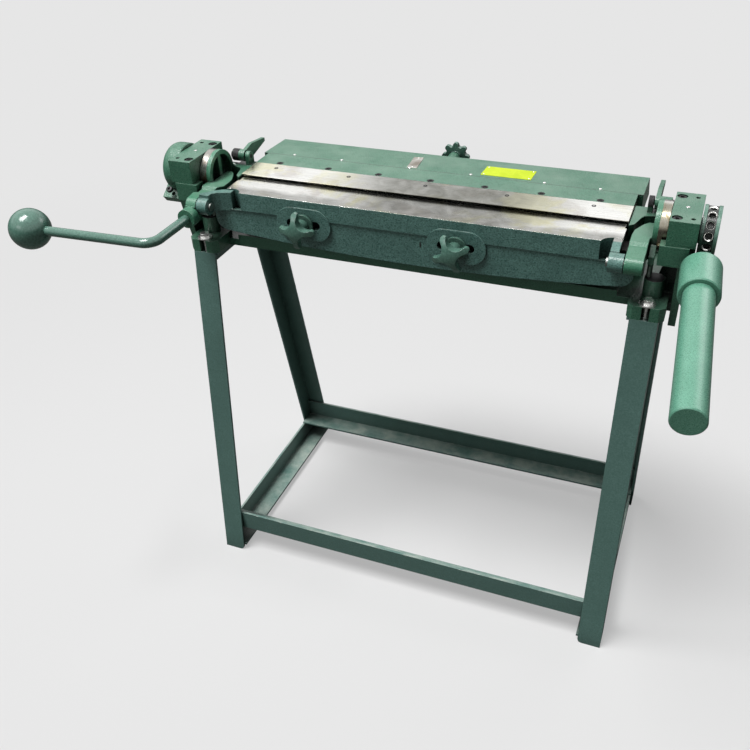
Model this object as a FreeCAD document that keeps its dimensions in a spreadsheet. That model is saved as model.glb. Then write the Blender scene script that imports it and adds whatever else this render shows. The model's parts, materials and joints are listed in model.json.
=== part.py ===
"""Bar folder on an angle-iron stand, in millimetres.

X runs along the folding blade to the operator's right, Y runs to the back and Z up.
Sizes are measured from the floor under the middle of the stand, and the finished pieces
are moved so that the origin lies on the floor under the middle of the whole machine.
"""
import FreeCAD, Part
import math
import os
import re
import Sketcher

# Driving dimensions, all in millimetres or degrees.
SIZES = {
    # Stand of angle iron, legs splayed to front and back
    "stand_height": 782,
    "angle_leg": 50,
    "angle_wall": 5,
    "foot_front": 245,
    "foot_back": 275,
    "foot_round": 10,
    "head_front": 145,
    "head_back": 124,
    "rail_lift": 12,
    "leg_margin": 24,
    # Fold axis and the width that the machine folds
    "axis_depth": 50,
    "axis_rise": 139.5,
    "blade_half": 390,
    # End frames: sole, lugs, web and skirt
    "sole_gap": 1,
    "sole_width": 109,
    "sole_front": 96,
    "sole_thick": 15,
    "lug_half": 33,
    "lug_thick": 27,
    "lug_slot": 14,
    "lug_corner": 10,
    "bolt_offset": 58,
    "bolt_front_edge": 13,
    "bolt_back_edge": 16,
    "rear_lug_depth": 32,
    "web_thick": 13,
    "skirt_drop": 30,
    "skirt_length": 40,
    "rib_thick": 12,
    # Bearing blocks: the lower half with its front flange, and the cap
    "housing_gap": 1,
    "housing_width": 49,
    "housing_ahead": 73,
    "housing_behind": 52.5,
    "housing_depth": 37,
    "flange_shift": 9,
    "flange_proud": 2,
    "flange_depth": 22,
    "cap_height": 43.5,
    "split_drop": 2,
    "cap_screw_in": 11,
    "cap_screw_edge": 17,
    "cap_bore_radius": 9,
    "cap_bore_depth": 6,
    "cap_hole_radius": 4,
    "cap_hole_in": 37,
    # Stop posts, and the cheeks that carry the ends of the blade
    "post_radius": 18,
    "post_offset": 62,
    "post_ahead": 44,
    "cheek_top_drop": 2,
    "cheek_depth": 51,
    "cheek_gap": 5,
    "cheek_nose": 11,
    "cheek_swell": 36,
    "cheek_length": 76,
    "cheek_lip": 8,
    "cheek_lip_behind": 7,
    "throat_front_in": 2,
    "throat_front_behind": 19,
    "throat_back_in": 6,
    "throat_back_behind": 35,
    "pillar_depth": 30,
    "pillar_inset": 8,
    # Bed, jaw, blade and what covers them
    "bed_back": 110,
    "bed_lip": 25,
    "bed_lip_thick": 12,
    "bed_web_front": 30,
    "bed_web_thick": 18,
    "bed_head_depth": 20,
    "bed_neck": 24,
    "jaw_thick": 17,
    "jaw_setback": 6,
    "jaw_chamfer": 14,
    "seam_behind": 118,
    "slot_height": 4.8,
    "blade_edge": 1,
    "blade_width": 63.5,
    "blade_rise": 2.5,
    "tongue_thick": 1,
    "tongue_width": 30,
    "holder_rise": 2.7,
    "holder_leg": 18,
    "holder_bore_radius": 7,
    "holder_bore_depth": 1,
    "holder_bore_inset": 0.5,
    "holder_bore_shift": -5,
    "holder_bore_pitch": 111,
    "holder_bore_count": 7,
    "gauge_bar_width": 12,
    "gauge_bar_gap": 1,
    "gauge_bar_inset": 10,
    "cover_overhang": 10,
    "cover_wall": 3,
    "cover_depth": 96,
    "cover_fall": 3.5,
    "cover_round": 30,
    "apron_lean": 37,
    "apron_drop": 50,
    # Gauge screw and its star knob behind the cover
    "gauge_offset": -13,
    "gauge_drop": 17.5,
    "screw_radius": 6,
    "bush_radius": 13,
    "bush_reach": 36,
    "gauge_knob_gap": 3,
    "gauge_thick": 16,
    "gauge_hub_length": 4,
    "gauge_core_radius": 22,
    "gauge_lobe_reach": 30.5,
    "gauge_lobe_radius": 5.5,
    "gauge_lobe_count": 8,
    "gauge_dome": 70,
    # Stop levers behind the end discs
    "lever_back": 62,
    "lever_rise": 15,
    "lever_hub_radius": 12,
    "left_lever_inset": 9,
    "right_lever_inset": 24,
    "lever_hub_length": 29,
    "lever_thick": 8,
    "lever_length": 82,
    "lever_tip": 7,
    "lever_belly": 26,
    "lever_belly_rise": 17,
    "lever_slope": 5,
    "lever_pin_radius": 5,
    "bracket_gap": 2,
    "bracket_width": 9,
    "bracket_radius": 10,
    # End discs with their arms, barrels, stop feet and trunnions
    "arm_gap": 12,
    "arm_width": 34,
    "arm_relief": 3,
    "left_hinge_shift": 32,
    "left_barrel_width": 22,
    "arm_neck": 10,
    "disc_width": 24,
    "disc_radius": 45,
    "disc_rim": 9,
    "disc_floor": 8,
    "cup_rib": 10,
    "trunnion_radius": 22,
    "arm_root_back": 20,
    "arm_root_depth": 30,
    "arm_shoulder": 62,
    "arm_step": 6,
    "barrel_ahead": 100,
    "barrel_drop": 32,
    "barrel_radius": 17,
    "heel_depth": 78,
    "heel_lug_depth": 50,
    "heel_lug_half": 10,
    "heel_lug_width": 10,
    "heel_screw_radius": 4.5,
    "heel_nut_thick": 6,
    "hinge_pin_radius": 5,
    "hinge_pin_end": 3,
    "hinge_head_radius": 8,
    "hinge_head_thick": 4,
    # Folding bar, wedge and wing
    "bar_ahead": 53,
    "bar_setback": 16,
    "bar_drop": 30,
    "bar_depth": 48,
    "wing_drop": 6,
    "wing_top_thick": 12,
    "wing_ahead": 73.5,
    "wing_band_proud": 2.5,
    "wing_band_depth": 37,
    "wing_wall": 8,
    "wing_overhang": 28,
    "wing_height": 103.5,
    "wing_belly": 18,
    "wing_corner": 26,
    "wing_lug_width": 15,
    "wing_lug_gap": 1.5,
    "band_inset": 12,
    "band_cut_radius": 24,
    # Clamp pads, studs and star knobs on the wing
    "left_clamp_x": -217,
    "right_clamp_x": 95,
    "left_clamp_drop": 53.5,
    "right_clamp_drop": 56.5,
    "pad_length": 116,
    "pad_height": 66,
    "pad_proud": 5,
    "slot_length": 72,
    "slot_width": 17,
    "stud_radius": 6,
    "stud_cover": 5,
    "collar_radius": 22,
    "collar_thick": 5,
    "knob_hub_radius": 14,
    "knob_hub_length": 20,
    "knob_thick": 20,
    "knob_core_radius": 15,
    "knob_lobe_reach": 38,
    "knob_lobe_radius": 6,
    "knob_lobe_count": 4,
    "knob_dome": 58,
    "right_knob_turn": 25,
    # Handle
    "handle_outset": 9,
    "handle_drop": 46.5,
    "handle_hub_radius": 19,
    "handle_hub_ahead": 38,
    "handle_hub_length": 19,
    "handle_socket": 16,
    "rod_radius": 9.5,
    "rod_ahead": 116,
    "rod_bend": 26,
    "rod_reach": 280,
    "ball_ahead": 8,
    "ball_drop": 3,
    "ball_radius": 40.5,
    "ball_socket": 22,
    # Left collar
    "end_collar_gap": 1,
    "end_collar_width": 44,
    "end_collar_radius": 51,
    "end_collar_round": 22,
    "end_collar_edge": 3,
    "ear_length": 20,
    "ear_width": 20,
    "ear_angle": 38,
    "ear_split": 4,
    "ear_bolt_radius": 4,
    # Stop drum and balance weight on the right
    "drum_gap": 1.5,
    "drum_width": 29.5,
    "drum_radius": 45,
    "groove_width": 17,
    "groove_depth": 1.5,
    "stop_hole_radius": 6,
    "stop_hole_mouth": 8.2,
    "stop_hole_depth": 9,
    "stop_hole_count": 14,
    "weight_outset": -1,
    "weight_toe_out": 19.5,
    "weight_ahead": 96,
    "weight_length": 366,
    "weight_drop": 28.5,
    "weight_droop": 37,
    "weight_radius": 26,
    "weight_chamfer": 2,
    "socket_radius": 34,
    "socket_length": 72,
    "socket_wall": 6,
    "web_width": 20,
    "web_height": 34,
    # Bolts through the lugs
    "bolt_radius": 6,
    "bolt_clearance": 0.5,
    "bolt_head_radius": 10,
    "bolt_head_thick": 8,
    "washer_radius": 15,
    "washer_thick": 3,
    "nut_thick": 10,
    "bolt_tail": 5,
    # Clearances
    "running_fit": 0.05,
    "weight_fit": 0.3,
    "cheek_clearance": 5,
    "seat_gap": 0.3,
}

# Places worked out from the driving dimensions. Names that end in _out are distances from
# the middle of the blade, and names that end in _y or _z are coordinates.
PLACES = {
    "axis_y": "0 - axis_depth",
    "axis_z": "stand_height + axis_rise",
    "sole_in_out": "blade_half + sole_gap",
    "sole_out": "sole_in_out + sole_width",
    "bolt_out": "blade_half + bolt_offset",
    "stand_out": "bolt_out + leg_margin",
    "rail_out": "stand_out - angle_wall",
    "post_out": "blade_half + post_offset",
    "arm_out": "blade_half + arm_gap",
    "disc_in_out": "arm_out + arm_width",
    "disc_out": "disc_in_out + disc_width",
    "arm_end_out": "disc_in_out - arm_relief",
    "housing_in_out": "disc_out + housing_gap",
    "housing_out": "housing_in_out + housing_width",
    "end_collar_out": "housing_out + end_collar_gap",
    "drum_out": "housing_out + drum_gap",
    "cheek_out": "disc_in_out - cheek_gap",
    "left_lever_out": "arm_out + left_lever_inset",
    "right_lever_out": "arm_out + right_lever_inset",
    "right_lug_out": "blade_half - wing_lug_width",
    "right_lug_end": "arm_out - wing_lug_gap",
    "right_barrel_out": "arm_out",
    "right_barrel_end": "arm_end_out",
    "left_barrel_out": "arm_out + left_hinge_shift",
    "left_barrel_end": "left_barrel_out + left_barrel_width",
    "left_lug_end": "left_barrel_out - wing_lug_gap",
    "left_lug_out": "left_lug_end - left_barrel_width",
    "wing_out": "blade_half + wing_overhang",
    "handle_out": "disc_in_out + handle_outset",
    "cover_out": "blade_half + cover_overhang",
    "front_slope": "(foot_front - head_front) / stand_height",
    "back_slope": "(foot_back - head_back) / stand_height",
    "bolt_front_y": "bolt_front_edge - head_front",
    "bolt_back_y": "head_back - bolt_back_edge",
    "housing_front_y": "axis_y - housing_ahead",
    "housing_back_y": "axis_y + housing_behind",
    "post_y": "axis_y - post_ahead",
    "seam_y": "axis_y + seam_behind",
    "jaw_front_y": "axis_y + jaw_setback",
    "blade_back_y": "axis_y + blade_width",
    "tongue_back_y": "blade_back_y + tongue_width",
    "cover_back_y": "seam_y + cover_depth",
    "apron_back_y": "cover_back_y + apron_lean",
    "bush_back_y": "cover_back_y + bush_reach",
    "lever_y": "axis_y + lever_back",
    "barrel_y": "axis_y - barrel_ahead",
    "wing_front_y": "axis_y - wing_ahead",
    "band_front_y": "wing_front_y - wing_band_proud",
    "pad_front_y": "wing_front_y - pad_proud",
    "bar_front_y": "axis_y - bar_ahead",
    "bar_rear_y": "axis_y - bar_setback",
    "knob_back_y": "pad_front_y - collar_thick - 2 * seat_gap",
    "knob_front_y": "knob_back_y - knob_hub_length - knob_thick",
    "cross_low_z": "rail_lift + angle_leg",
    "cross_high_z": "cross_low_z + angle_leg",
    "sole_z": "stand_height + sole_thick",
    "lug_z": "stand_height + lug_thick",
    "split_z": "axis_z - split_drop",
    "cap_z": "axis_z + cap_height",
    "housing_low_z": "split_z - housing_depth",
    "cheek_z": "axis_z - cheek_top_drop",
    "cheek_low_z": "cheek_z - cheek_depth",
    "jaw_z": "axis_z - slot_height",
    "jaw_low_z": "jaw_z - jaw_thick",
    "head_low_z": "jaw_low_z - bed_head_depth",
    "tongue_z": "axis_z + tongue_thick",
    "holder_z": "axis_z + holder_rise",
    "apron_low_z": "axis_z - apron_drop",
    "gauge_z": "axis_z - gauge_drop",
    "lever_z": "axis_z + lever_rise",
    "barrel_z": "axis_z - barrel_drop",
    "heel_z": "axis_z - heel_depth",
    "heel_lug_z": "axis_z - heel_lug_depth",
    "wing_z": "axis_z - wing_drop",
    "wing_plate_z": "wing_z - wing_top_thick",
    "band_low_z": "wing_z - wing_band_depth",
    "wing_low_z": "wing_z - wing_height",
    "overhang_z": "barrel_z - barrel_radius - seat_gap",
    "bar_z": "axis_z - bar_drop",
    "left_clamp_z": "axis_z - left_clamp_drop",
    "right_clamp_z": "axis_z - right_clamp_drop",
    "handle_z": "axis_z - handle_drop",
    "bearing_radius": "trunnion_radius + running_fit",
    "hinge_bore": "hinge_pin_radius + running_fit",
}

doc = FreeCAD.newDocument("bar_folder")
sheet = doc.addObject("Spreadsheet::Sheet", "sizes")
for row, (alias, number) in enumerate(SIZES.items(), start=1):
    sheet.set(f"A{row}", alias)
    sheet.set(f"B{row}", str(number))
    sheet.setAlias(f"B{row}", alias)
doc.recompute()

X_AXIS = FreeCAD.Vector(1, 0, 0)
Y_AXIS = FreeCAD.Vector(0, 1, 0)
Z_AXIS = FreeCAD.Vector(0, 0, 1)
nodes = []


def bound(text):
    """The expression for a size, with every word traced to its sheet."""
    def trace(match):
        word = match.group(0)
        if word in PLACES:
            return "places." + word
        return "sizes." + word if word in SIZES else word
    return re.sub(r"[a-z_]+", trace, text)


places = doc.addObject("Spreadsheet::Sheet", "places")
for row, (alias, text) in enumerate(PLACES.items(), start=1):
    places.set(f"A{row}", alias)
    places.setAlias(f"B{row}", alias)
    places.set(f"B{row}", "=" + bound(text).replace("places.", ""))
doc.recompute()


def bind(item, name, text):
    item.setExpression(name, bound(text))


def size(alias):
    return float((places if alias in PLACES else sheet).get(alias))


def node(item, label):
    """Name a finished sub-part and put it on the list of pieces."""
    item.Label = label
    nodes.append(item)
    return item


def span(side, near, far):
    """Start and length along X of a piece that lies between two distances from the middle."""
    start = near if side > 0 else f"0 - ({far})"
    return start, f"({far}) - ({near})"


def across(side, distance):
    return distance if side > 0 else f"0 - ({distance})"


def outline(body, role, corners, offset):
    """A closed outline in a plane of its own body, every corner tied to the sheets."""
    plane = next(item for item in body.Origin.OriginFeatures if item.Role == role)
    sketch = body.newObject("Sketcher::SketchObject", "outline")
    sketch.AttachmentSupport = [(plane, "")]
    sketch.MapMode = "FlatFace"
    bind(sketch, "AttachmentOffset.Base.z", offset)
    count = len(corners)
    turns = [2 * math.pi * index / count for index in range(count)]
    start = [FreeCAD.Vector(math.cos(turn), math.sin(turn), 0) * 100 for turn in turns]
    for index in range(count):
        sketch.addGeometry(Part.LineSegment(start[index], start[(index + 1) % count]))
    for index in range(count):
        following = (index + 1) % count
        sketch.addConstraint(Sketcher.Constraint("Coincident", index, 2, following, 1))
    for index, corner in enumerate(corners):
        for kind, text, first in zip(("DistanceX", "DistanceY"), corner, start[index]):
            rule = Sketcher.Constraint(kind, -1, 1, index, 1, first)
            bind(sketch, f"Constraints[{sketch.addConstraint(rule)}]", text)
    return sketch


def pad(body, role, corners, offset, length):
    feature = body.newObject("PartDesign::Pad", "pad")
    feature.Profile = outline(body, role, corners, offset)
    bind(feature, "Length", length)
    return feature


def new_body():
    return doc.addObject("PartDesign::Body", "body")


def plate_x(corners, start, length):
    """A body of one outline in the YZ plane, drawn out along X."""
    body = new_body()
    pad(body, "YZ_Plane", corners, start, length)
    return body


def plate_y(corners, front, depth):
    """A body of one outline in the XZ plane, drawn out along Y from its front face."""
    body = new_body()
    pad(body, "XZ_Plane", corners, f"0 - (({front}) + ({depth}))", depth)
    return body


def plate_z(corners, low, height):
    """A body of one outline in the XY plane, drawn up along Z."""
    body = new_body()
    pad(body, "XY_Plane", corners, low, height)
    return body


def box(x_start, x_length, y_start, y_length, z_start, z_length):
    item = doc.addObject("Part::Box", "box")
    for name, text in (("Placement.Base.x", x_start), ("Length", x_length),
                       ("Placement.Base.y", y_start), ("Width", y_length),
                       ("Placement.Base.z", z_start), ("Height", z_length)):
        bind(item, name, text)
    return item


def cylinder(axis, radius, length, x, y, z):
    """A round bar whose first end is at x, y, z and which runs along the positive axis."""
    item = doc.addObject("Part::Cylinder", "cylinder")
    item.Placement.Rotation = FreeCAD.Rotation(Z_AXIS, axis)
    for name, text in (("Radius", radius), ("Height", length), ("Placement.Base.x", x),
                       ("Placement.Base.y", y), ("Placement.Base.z", z)):
        bind(item, name, text)
    return item


def fuse(*items):
    joined = doc.addObject("Part::MultiFuse", "joined")
    joined.Shapes = list(items)
    joined.Refine = True
    return joined


def cut(base, *tools):
    for tool in tools:
        result = doc.addObject("Part::Cut", "cut")
        result.Base = base
        result.Tool = tool
        base = result
    return base


def common(first, second):
    result = doc.addObject("Part::Common", "common")
    result.Base = first
    result.Tool = second
    return result


def rounded(item, radius, chosen):
    """The piece with a fillet on each edge that the test picks."""
    doc.recompute()
    result = doc.addObject("Part::Fillet", "rounded")
    result.Base = item
    result.Edges = [(number, radius, radius)
                    for number, edge in enumerate(item.Shape.Edges, start=1) if chosen(edge)]
    return result


def runs_along(edge, axis):
    """Whether an edge is straight and parallel to an axis."""
    return edge.Curve.TypeId == "Part::GeomLine" and edge.tangentAt(
        edge.FirstParameter).cross(axis).Length < 1e-6


def shaped(label, shape, placement=FreeCAD.Placement()):
    """A piece whose form is made by code from sizes read from the sheets."""
    item = doc.addObject("Part::Feature", label)
    item.Shape = shape
    item.Placement = placement
    return node(item, label)


def obround(length, height, depth, x, y, z):
    """A slot-shaped bar along Y with its middle at x, z and its front end at y."""
    half = f"(({length}) - ({height})) / 2"
    middle = box(f"{x} - {half}", f"2 * {half}", y, depth, f"{z} - ({height}) / 2", height)
    ends = [cylinder(Y_AXIS, f"({height}) / 2", depth, f"{x} {sign} {half}", y, z)
            for sign in "-+"]
    return fuse(middle, *ends)


def star(kind, hub_radius, bore_depth):
    """A star knob about its own Z axis: hub below, domed head above, bored for its stud.

    Round lobes alternate with round hollows, and each arc runs smoothly into the next.
    """
    lobe = size(f"{kind}_lobe_radius")
    core = size(f"{kind}_core_radius")
    reach = size(f"{kind}_lobe_reach")
    thick = size(f"{kind}_thick")
    low = size(f"{kind}_hub_length")
    count = int(size(f"{kind}_lobe_count"))
    middle = reach - lobe
    half = math.pi / count
    hollow = ((core ** 2 + middle ** 2 - 2 * middle * core * math.cos(half) - lobe ** 2)
              / (2 * (lobe - core + middle * math.cos(half))))

    def polar(radius, turn):
        return FreeCAD.Vector(radius * math.cos(turn), radius * math.sin(turn), low)

    def meeting(lobe_turn, hollow_turn):
        centre = polar(middle, lobe_turn)
        return centre + (polar(core + hollow, hollow_turn) - centre).normalize() * lobe

    arcs = []
    for index in range(count):
        turn = 2 * half * index
        start, end = meeting(turn, turn - half), meeting(turn, turn + half)
        following = meeting(turn + 2 * half, turn + half)
        arcs.append(Part.Arc(start, polar(reach, turn), end).toShape())
        arcs.append(Part.Arc(end, polar(core, turn + half), following).toShape())
    head = Part.Face(Part.Wire(arcs)).extrude(Z_AXIS * thick)
    dome = size(f"{kind}_dome")
    head = head.common(Part.makeSphere(dome, Z_AXIS * (low + thick - dome)))
    hub = Part.makeCylinder(hub_radius, low + thick / 2)
    bore = Part.makeCylinder(size("stud_radius") + size("running_fit"), bore_depth + 1,
                             Z_AXIS * -1)
    return hub.fuse(head).removeSplitter().cut(bore)


def leg(side, end):
    """One splayed leg: a flange that faces front or back and a flange on the outer side."""
    foot, head = ("foot_front", "head_front") if end < 0 else ("foot_back", "head_back")
    sign = "0 -" if end < 0 else ""

    def slanted(near, far):
        inward = "+" if end < 0 else "-"
        return [(f"{sign} {foot} {inward} {near}", "0"), (f"{sign} {foot} {inward} {far}", "0"),
                (f"{sign} {head} {inward} {far}", "stand_height"),
                (f"{sign} {head} {inward} {near}", "stand_height")]

    body = new_body()
    pad(body, "YZ_Plane", slanted("0", "angle_wall"),
        *span(side, "stand_out - angle_leg", "stand_out"))
    pad(body, "YZ_Plane", slanted("0", "angle_leg"),
        *span(side, "stand_out - angle_wall", "stand_out"))
    inner = size("stand_out") - size("angle_leg")
    foot_place = size(foot) - size("angle_leg")

    def at_toe(edge):
        """The two short edges at the tips of the flanges, on the floor."""
        middle = edge.CenterOfMass
        front_tip = runs_along(edge, Y_AXIS) and abs(abs(middle.x) - inner) < 1
        side_tip = runs_along(edge, X_AXIS) and abs(abs(middle.y) - foot_place) < 1
        return abs(middle.z) < 1 and edge.Length < size("angle_wall") * 2 and (
            front_tip or side_tip)

    name = ("front" if end < 0 else "back") + ("_left" if side < 0 else "_right") + "_leg"
    node(rounded(body, size("foot_round"), at_toe), name)


def side_rail(side, low, flange_low):
    """An angle between the front and back leg of one side, its ends cut to the splay."""
    def between(start, finish):
        front = "0 - foot_front + angle_wall + front_slope * ({0})"
        back = "foot_back - angle_wall - back_slope * ({0})"
        return [(front.format(start), start), (back.format(start), start),
                (back.format(finish), finish), (front.format(finish), finish)]

    body = new_body()
    pad(body, "YZ_Plane", between(low, f"{low} + angle_leg"),
        *span(side, "rail_out - angle_wall", "rail_out"))
    pad(body, "YZ_Plane", between(flange_low, f"{flange_low} + angle_wall"),
        *span(side, "rail_out - angle_leg", "rail_out"))
    return body


def cross_rail(end, label):
    """The front or back lower rail, which stands on the two side rails."""
    front = "0 - foot_front + angle_wall + front_slope * cross_high_z"
    back = "foot_back - angle_wall - back_slope * cross_high_z"
    if end < 0:
        wall, shelf = front, front
    else:
        wall, shelf = f"{back} - angle_wall", f"{back} - angle_leg"
    width = ("0 - rail_out", "2 * rail_out")
    upright = box(*width, wall, "angle_wall", "cross_low_z", "angle_leg")
    flat = box(*width, shelf, "angle_leg", "cross_low_z", "angle_wall")
    node(fuse(upright, flat), label)


def build_stand():
    for side in (-1, 1):
        for end in (-1, 1):
            leg(side, end)
        hand = "left" if side < 0 else "right"
        node(side_rail(side, "rail_lift", "rail_lift"), f"{hand}_bottom_rail")
        rail = side_rail(side, "stand_height - angle_leg", "stand_height - angle_wall")
        holes = [cylinder(Z_AXIS, "bolt_radius + bolt_clearance", "2 * angle_wall",
                          across(side, "bolt_out"), place, "stand_height - 1.5 * angle_wall")
                 for place in ("bolt_front_y", "bolt_back_y")]
        node(cut(rail, *holes), f"{hand}_top_rail")
    cross_rail(-1, "front_bottom_rail")
    cross_rail(1, "back_bottom_rail")


def lug_slot(side, end):
    """The open slot of a lug, from its bolt out to the lug's edge."""
    bolt = "bolt_front_y" if end < 0 else "bolt_back_y"
    reach = "bolt_front_edge + 1" if end < 0 else "bolt_back_edge + 1"
    start = f"{bolt} - ({reach})" if end < 0 else bolt
    slot = box(f"{across(side, 'bolt_out')} - lug_slot / 2", "lug_slot", start, reach,
               "stand_height - 1", "lug_thick + 2")
    rounding = cylinder(Z_AXIS, "lug_slot / 2", "lug_thick + 2", across(side, "bolt_out"), bolt,
                        "stand_height - 1")
    return fuse(slot, rounding)


def bearing_bore(side):
    start, length = span(side, "housing_in_out - flange_shift - 1", "housing_out + 1")
    return cylinder(X_AXIS, "bearing_radius", length, start, "axis_y", "axis_z")


def build_cheek(side):
    """The claw that runs from the end of the blade back behind the disc's root."""
    nose, swell = "axis_y - cheek_nose", "axis_y + cheek_swell"
    return plate_z([(across(side, distance), place) for distance, place in (
        ("sole_in_out + 1", nose), ("sole_in_out + 1 + cheek_lip", f"{nose} + cheek_lip_behind"),
        ("arm_out + throat_front_in", f"{nose} + throat_front_behind"),
        ("arm_out + throat_back_in", f"{nose} + throat_back_behind"),
        ("arm_out + arm_width / 3", swell), ("cheek_out", f"{swell} + 5"),
        ("cheek_out", "axis_y + cheek_length"), ("sole_in_out + 1", "axis_y + cheek_length"))],
        "cheek_low_z", "cheek_depth")


def build_end_frame(side):
    hand = "left" if side < 0 else "right"
    sole = box(*span(side, "sole_in_out", "sole_out"), "0 - sole_front",
               "sole_front + head_back", "stand_height", "sole_thick")
    near, far = "bolt_out - lug_half", "bolt_out + lug_half"
    front_lug = plate_z([(across(side, distance), place) for distance, place in (
        (near, "sole_thick - sole_front"), (near, "lug_corner - head_front"),
        (f"{near} + lug_corner", "0 - head_front"), (f"{far} - lug_corner", "0 - head_front"),
        (far, "lug_corner - head_front"), (far, "sole_thick - sole_front"))],
        "stand_height", "lug_thick")
    rear_lug = box(*span(side, near, far), "head_back - rear_lug_depth", "rear_lug_depth",
                   "stand_height", "lug_thick")
    web = plate_x([("0 - sole_front", "stand_height - skirt_drop"),
                   ("skirt_length - sole_front", "stand_height - skirt_drop"),
                   ("2 * skirt_length - sole_front", "stand_height"),
                   ("head_back - rear_lug_depth", "sole_z"),
                   ("housing_back_y", "housing_low_z + 1"),
                   ("housing_front_y", "housing_low_z + 1")],
                  *span(side, "sole_out - web_thick", "sole_out"))
    housing = box(*span(side, "housing_in_out", "housing_out"),
                  "housing_front_y + flange_depth",
                  "housing_ahead + housing_behind - flange_depth", "housing_low_z",
                  "housing_depth")
    flange = box(*span(side, "housing_in_out - flange_shift", "housing_out - flange_shift"),
                 "housing_front_y - flange_proud", "flange_depth + flange_proud",
                 "housing_low_z", "housing_depth")
    rib = plate_y([(across(side, "housing_in_out + web_thick / 2"), "housing_low_z + 1"),
                   (across(side, "sole_out - web_thick / 2"), "housing_low_z + 1"),
                   (across(side, "sole_out - web_thick / 2"), "sole_z - 1"),
                   (across(side, "bolt_out"), "sole_z - 1")],
                  "axis_y - rib_thick / 2", "rib_thick")
    post = cylinder(Z_AXIS, "post_radius", "heel_z - seat_gap - stand_height - 1",
                    across(side, "post_out"), "post_y", "stand_height + 1")
    lever_out = f"{hand}_lever_out"
    bracket_end_out = f"{lever_out} - bracket_gap"
    bracket_out = f"{bracket_end_out} - bracket_width"
    pillar = box(*span(side, "sole_in_out + pillar_inset", "cheek_out - cheek_gap"),
                 "axis_y + cheek_length - pillar_depth", "pillar_depth",
                 "sole_z - 1", "cheek_low_z - sole_z + 2")
    bracket_span = span(side, bracket_out, bracket_end_out)
    bracket = box(*bracket_span, "lever_y - bracket_radius", "2 * bracket_radius",
                  "cheek_z - 1", "lever_z - cheek_z + 1")
    boss = cylinder(X_AXIS, "bracket_radius", bracket_span[1], bracket_span[0],
                    "lever_y", "lever_z")
    frame = fuse(sole, front_lug, rear_lug, web, housing, flange, rib, post, build_cheek(side),
                 pillar, bracket, boss)
    pin_start, pin_length = span(side, f"{bracket_out} - 1", f"{bracket_end_out} + 1")
    pin_hole = cylinder(X_AXIS, "lever_pin_radius + running_fit", pin_length, pin_start,
                        "lever_y", "lever_z")
    node(cut(frame, lug_slot(side, -1), lug_slot(side, 1), bearing_bore(side), pin_hole),
         f"{hand}_end_frame")
    build_cap(side, hand)


def build_cap(side, hand):
    """The upper half of a bearing, with its two counterbored screws and two dowel holes."""
    blank = box(*span(side, "housing_in_out", "housing_out"), "housing_front_y",
                "housing_ahead + housing_behind", "split_z", "cap_height + split_drop")
    cuts = [bearing_bore(side)]
    for place in ("housing_front_y + cap_screw_edge", "housing_back_y - cap_screw_edge"):
        for radius, distance in (("cap_bore_radius", "cap_screw_in"),
                                 ("cap_hole_radius", "cap_hole_in")):
            cuts.append(cylinder(Z_AXIS, radius, "cap_bore_depth + 1",
                                 across(side, f"housing_in_out + {distance}"), place,
                                 "cap_z - cap_bore_depth"))
    node(cut(blank, *cuts), f"{hand}_bearing_cap")


def build_bolts():
    """Hexagon bolts with washers and nuts, which hold the lugs to the top rails."""
    bolts = []
    for side in (-1, 1):
        for place in ("bolt_front_y", "bolt_back_y"):
            x = across(side, "bolt_out")
            shank_low = "stand_height - angle_wall - nut_thick - bolt_tail"
            shank = cylinder(Z_AXIS, "bolt_radius", f"lug_z - ({shank_low}) + washer_thick",
                             x, place, shank_low)
            washer = cylinder(Z_AXIS, "washer_radius", "washer_thick", x, place, "lug_z")
            head = hexagon("bolt_head_thick", x, place, "lug_z + washer_thick")
            nut = hexagon("nut_thick", x, place, "stand_height - angle_wall - nut_thick")
            bolts.append(fuse(shank, washer, head, nut))
    holder = doc.addObject("Part::Compound", "bolts")
    holder.Links = bolts
    node(holder, "foot_bolts")


def hexagon(height, x, y, z):
    prism = doc.addObject("Part::Prism", "hexagon")
    prism.Polygon = 6
    for name, text in (("Circumradius", "bolt_head_radius"), ("Height", height),
                       ("Placement.Base.x", x), ("Placement.Base.y", y),
                       ("Placement.Base.z", z)):
        bind(prism, name, text)
    return prism


def build_bed():
    """The casting between the end frames: front lip, web and the head that carries the jaw."""
    web_back = "bed_web_front + bed_web_thick"
    neck = "jaw_front_y + bed_neck"
    profile = [("0 - sole_front", "stand_height"), ("bed_back", "stand_height"),
               ("bed_back", "sole_z"), (web_back, "sole_z"), (web_back, "head_low_z"),
               ("seam_y", "head_low_z"), ("seam_y", "jaw_low_z"), (neck, "jaw_low_z"),
               (neck, "head_low_z"), ("bed_web_front", "head_low_z"),
               ("bed_web_front", "sole_z"), ("bed_lip_thick - sole_front", "sole_z"),
               ("bed_lip_thick - sole_front", "stand_height + bed_lip"),
               ("0 - sole_front", "stand_height + bed_lip")]
    node(plate_x(profile, "0 - sole_in_out", "2 * sole_in_out"), "bed")


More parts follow.
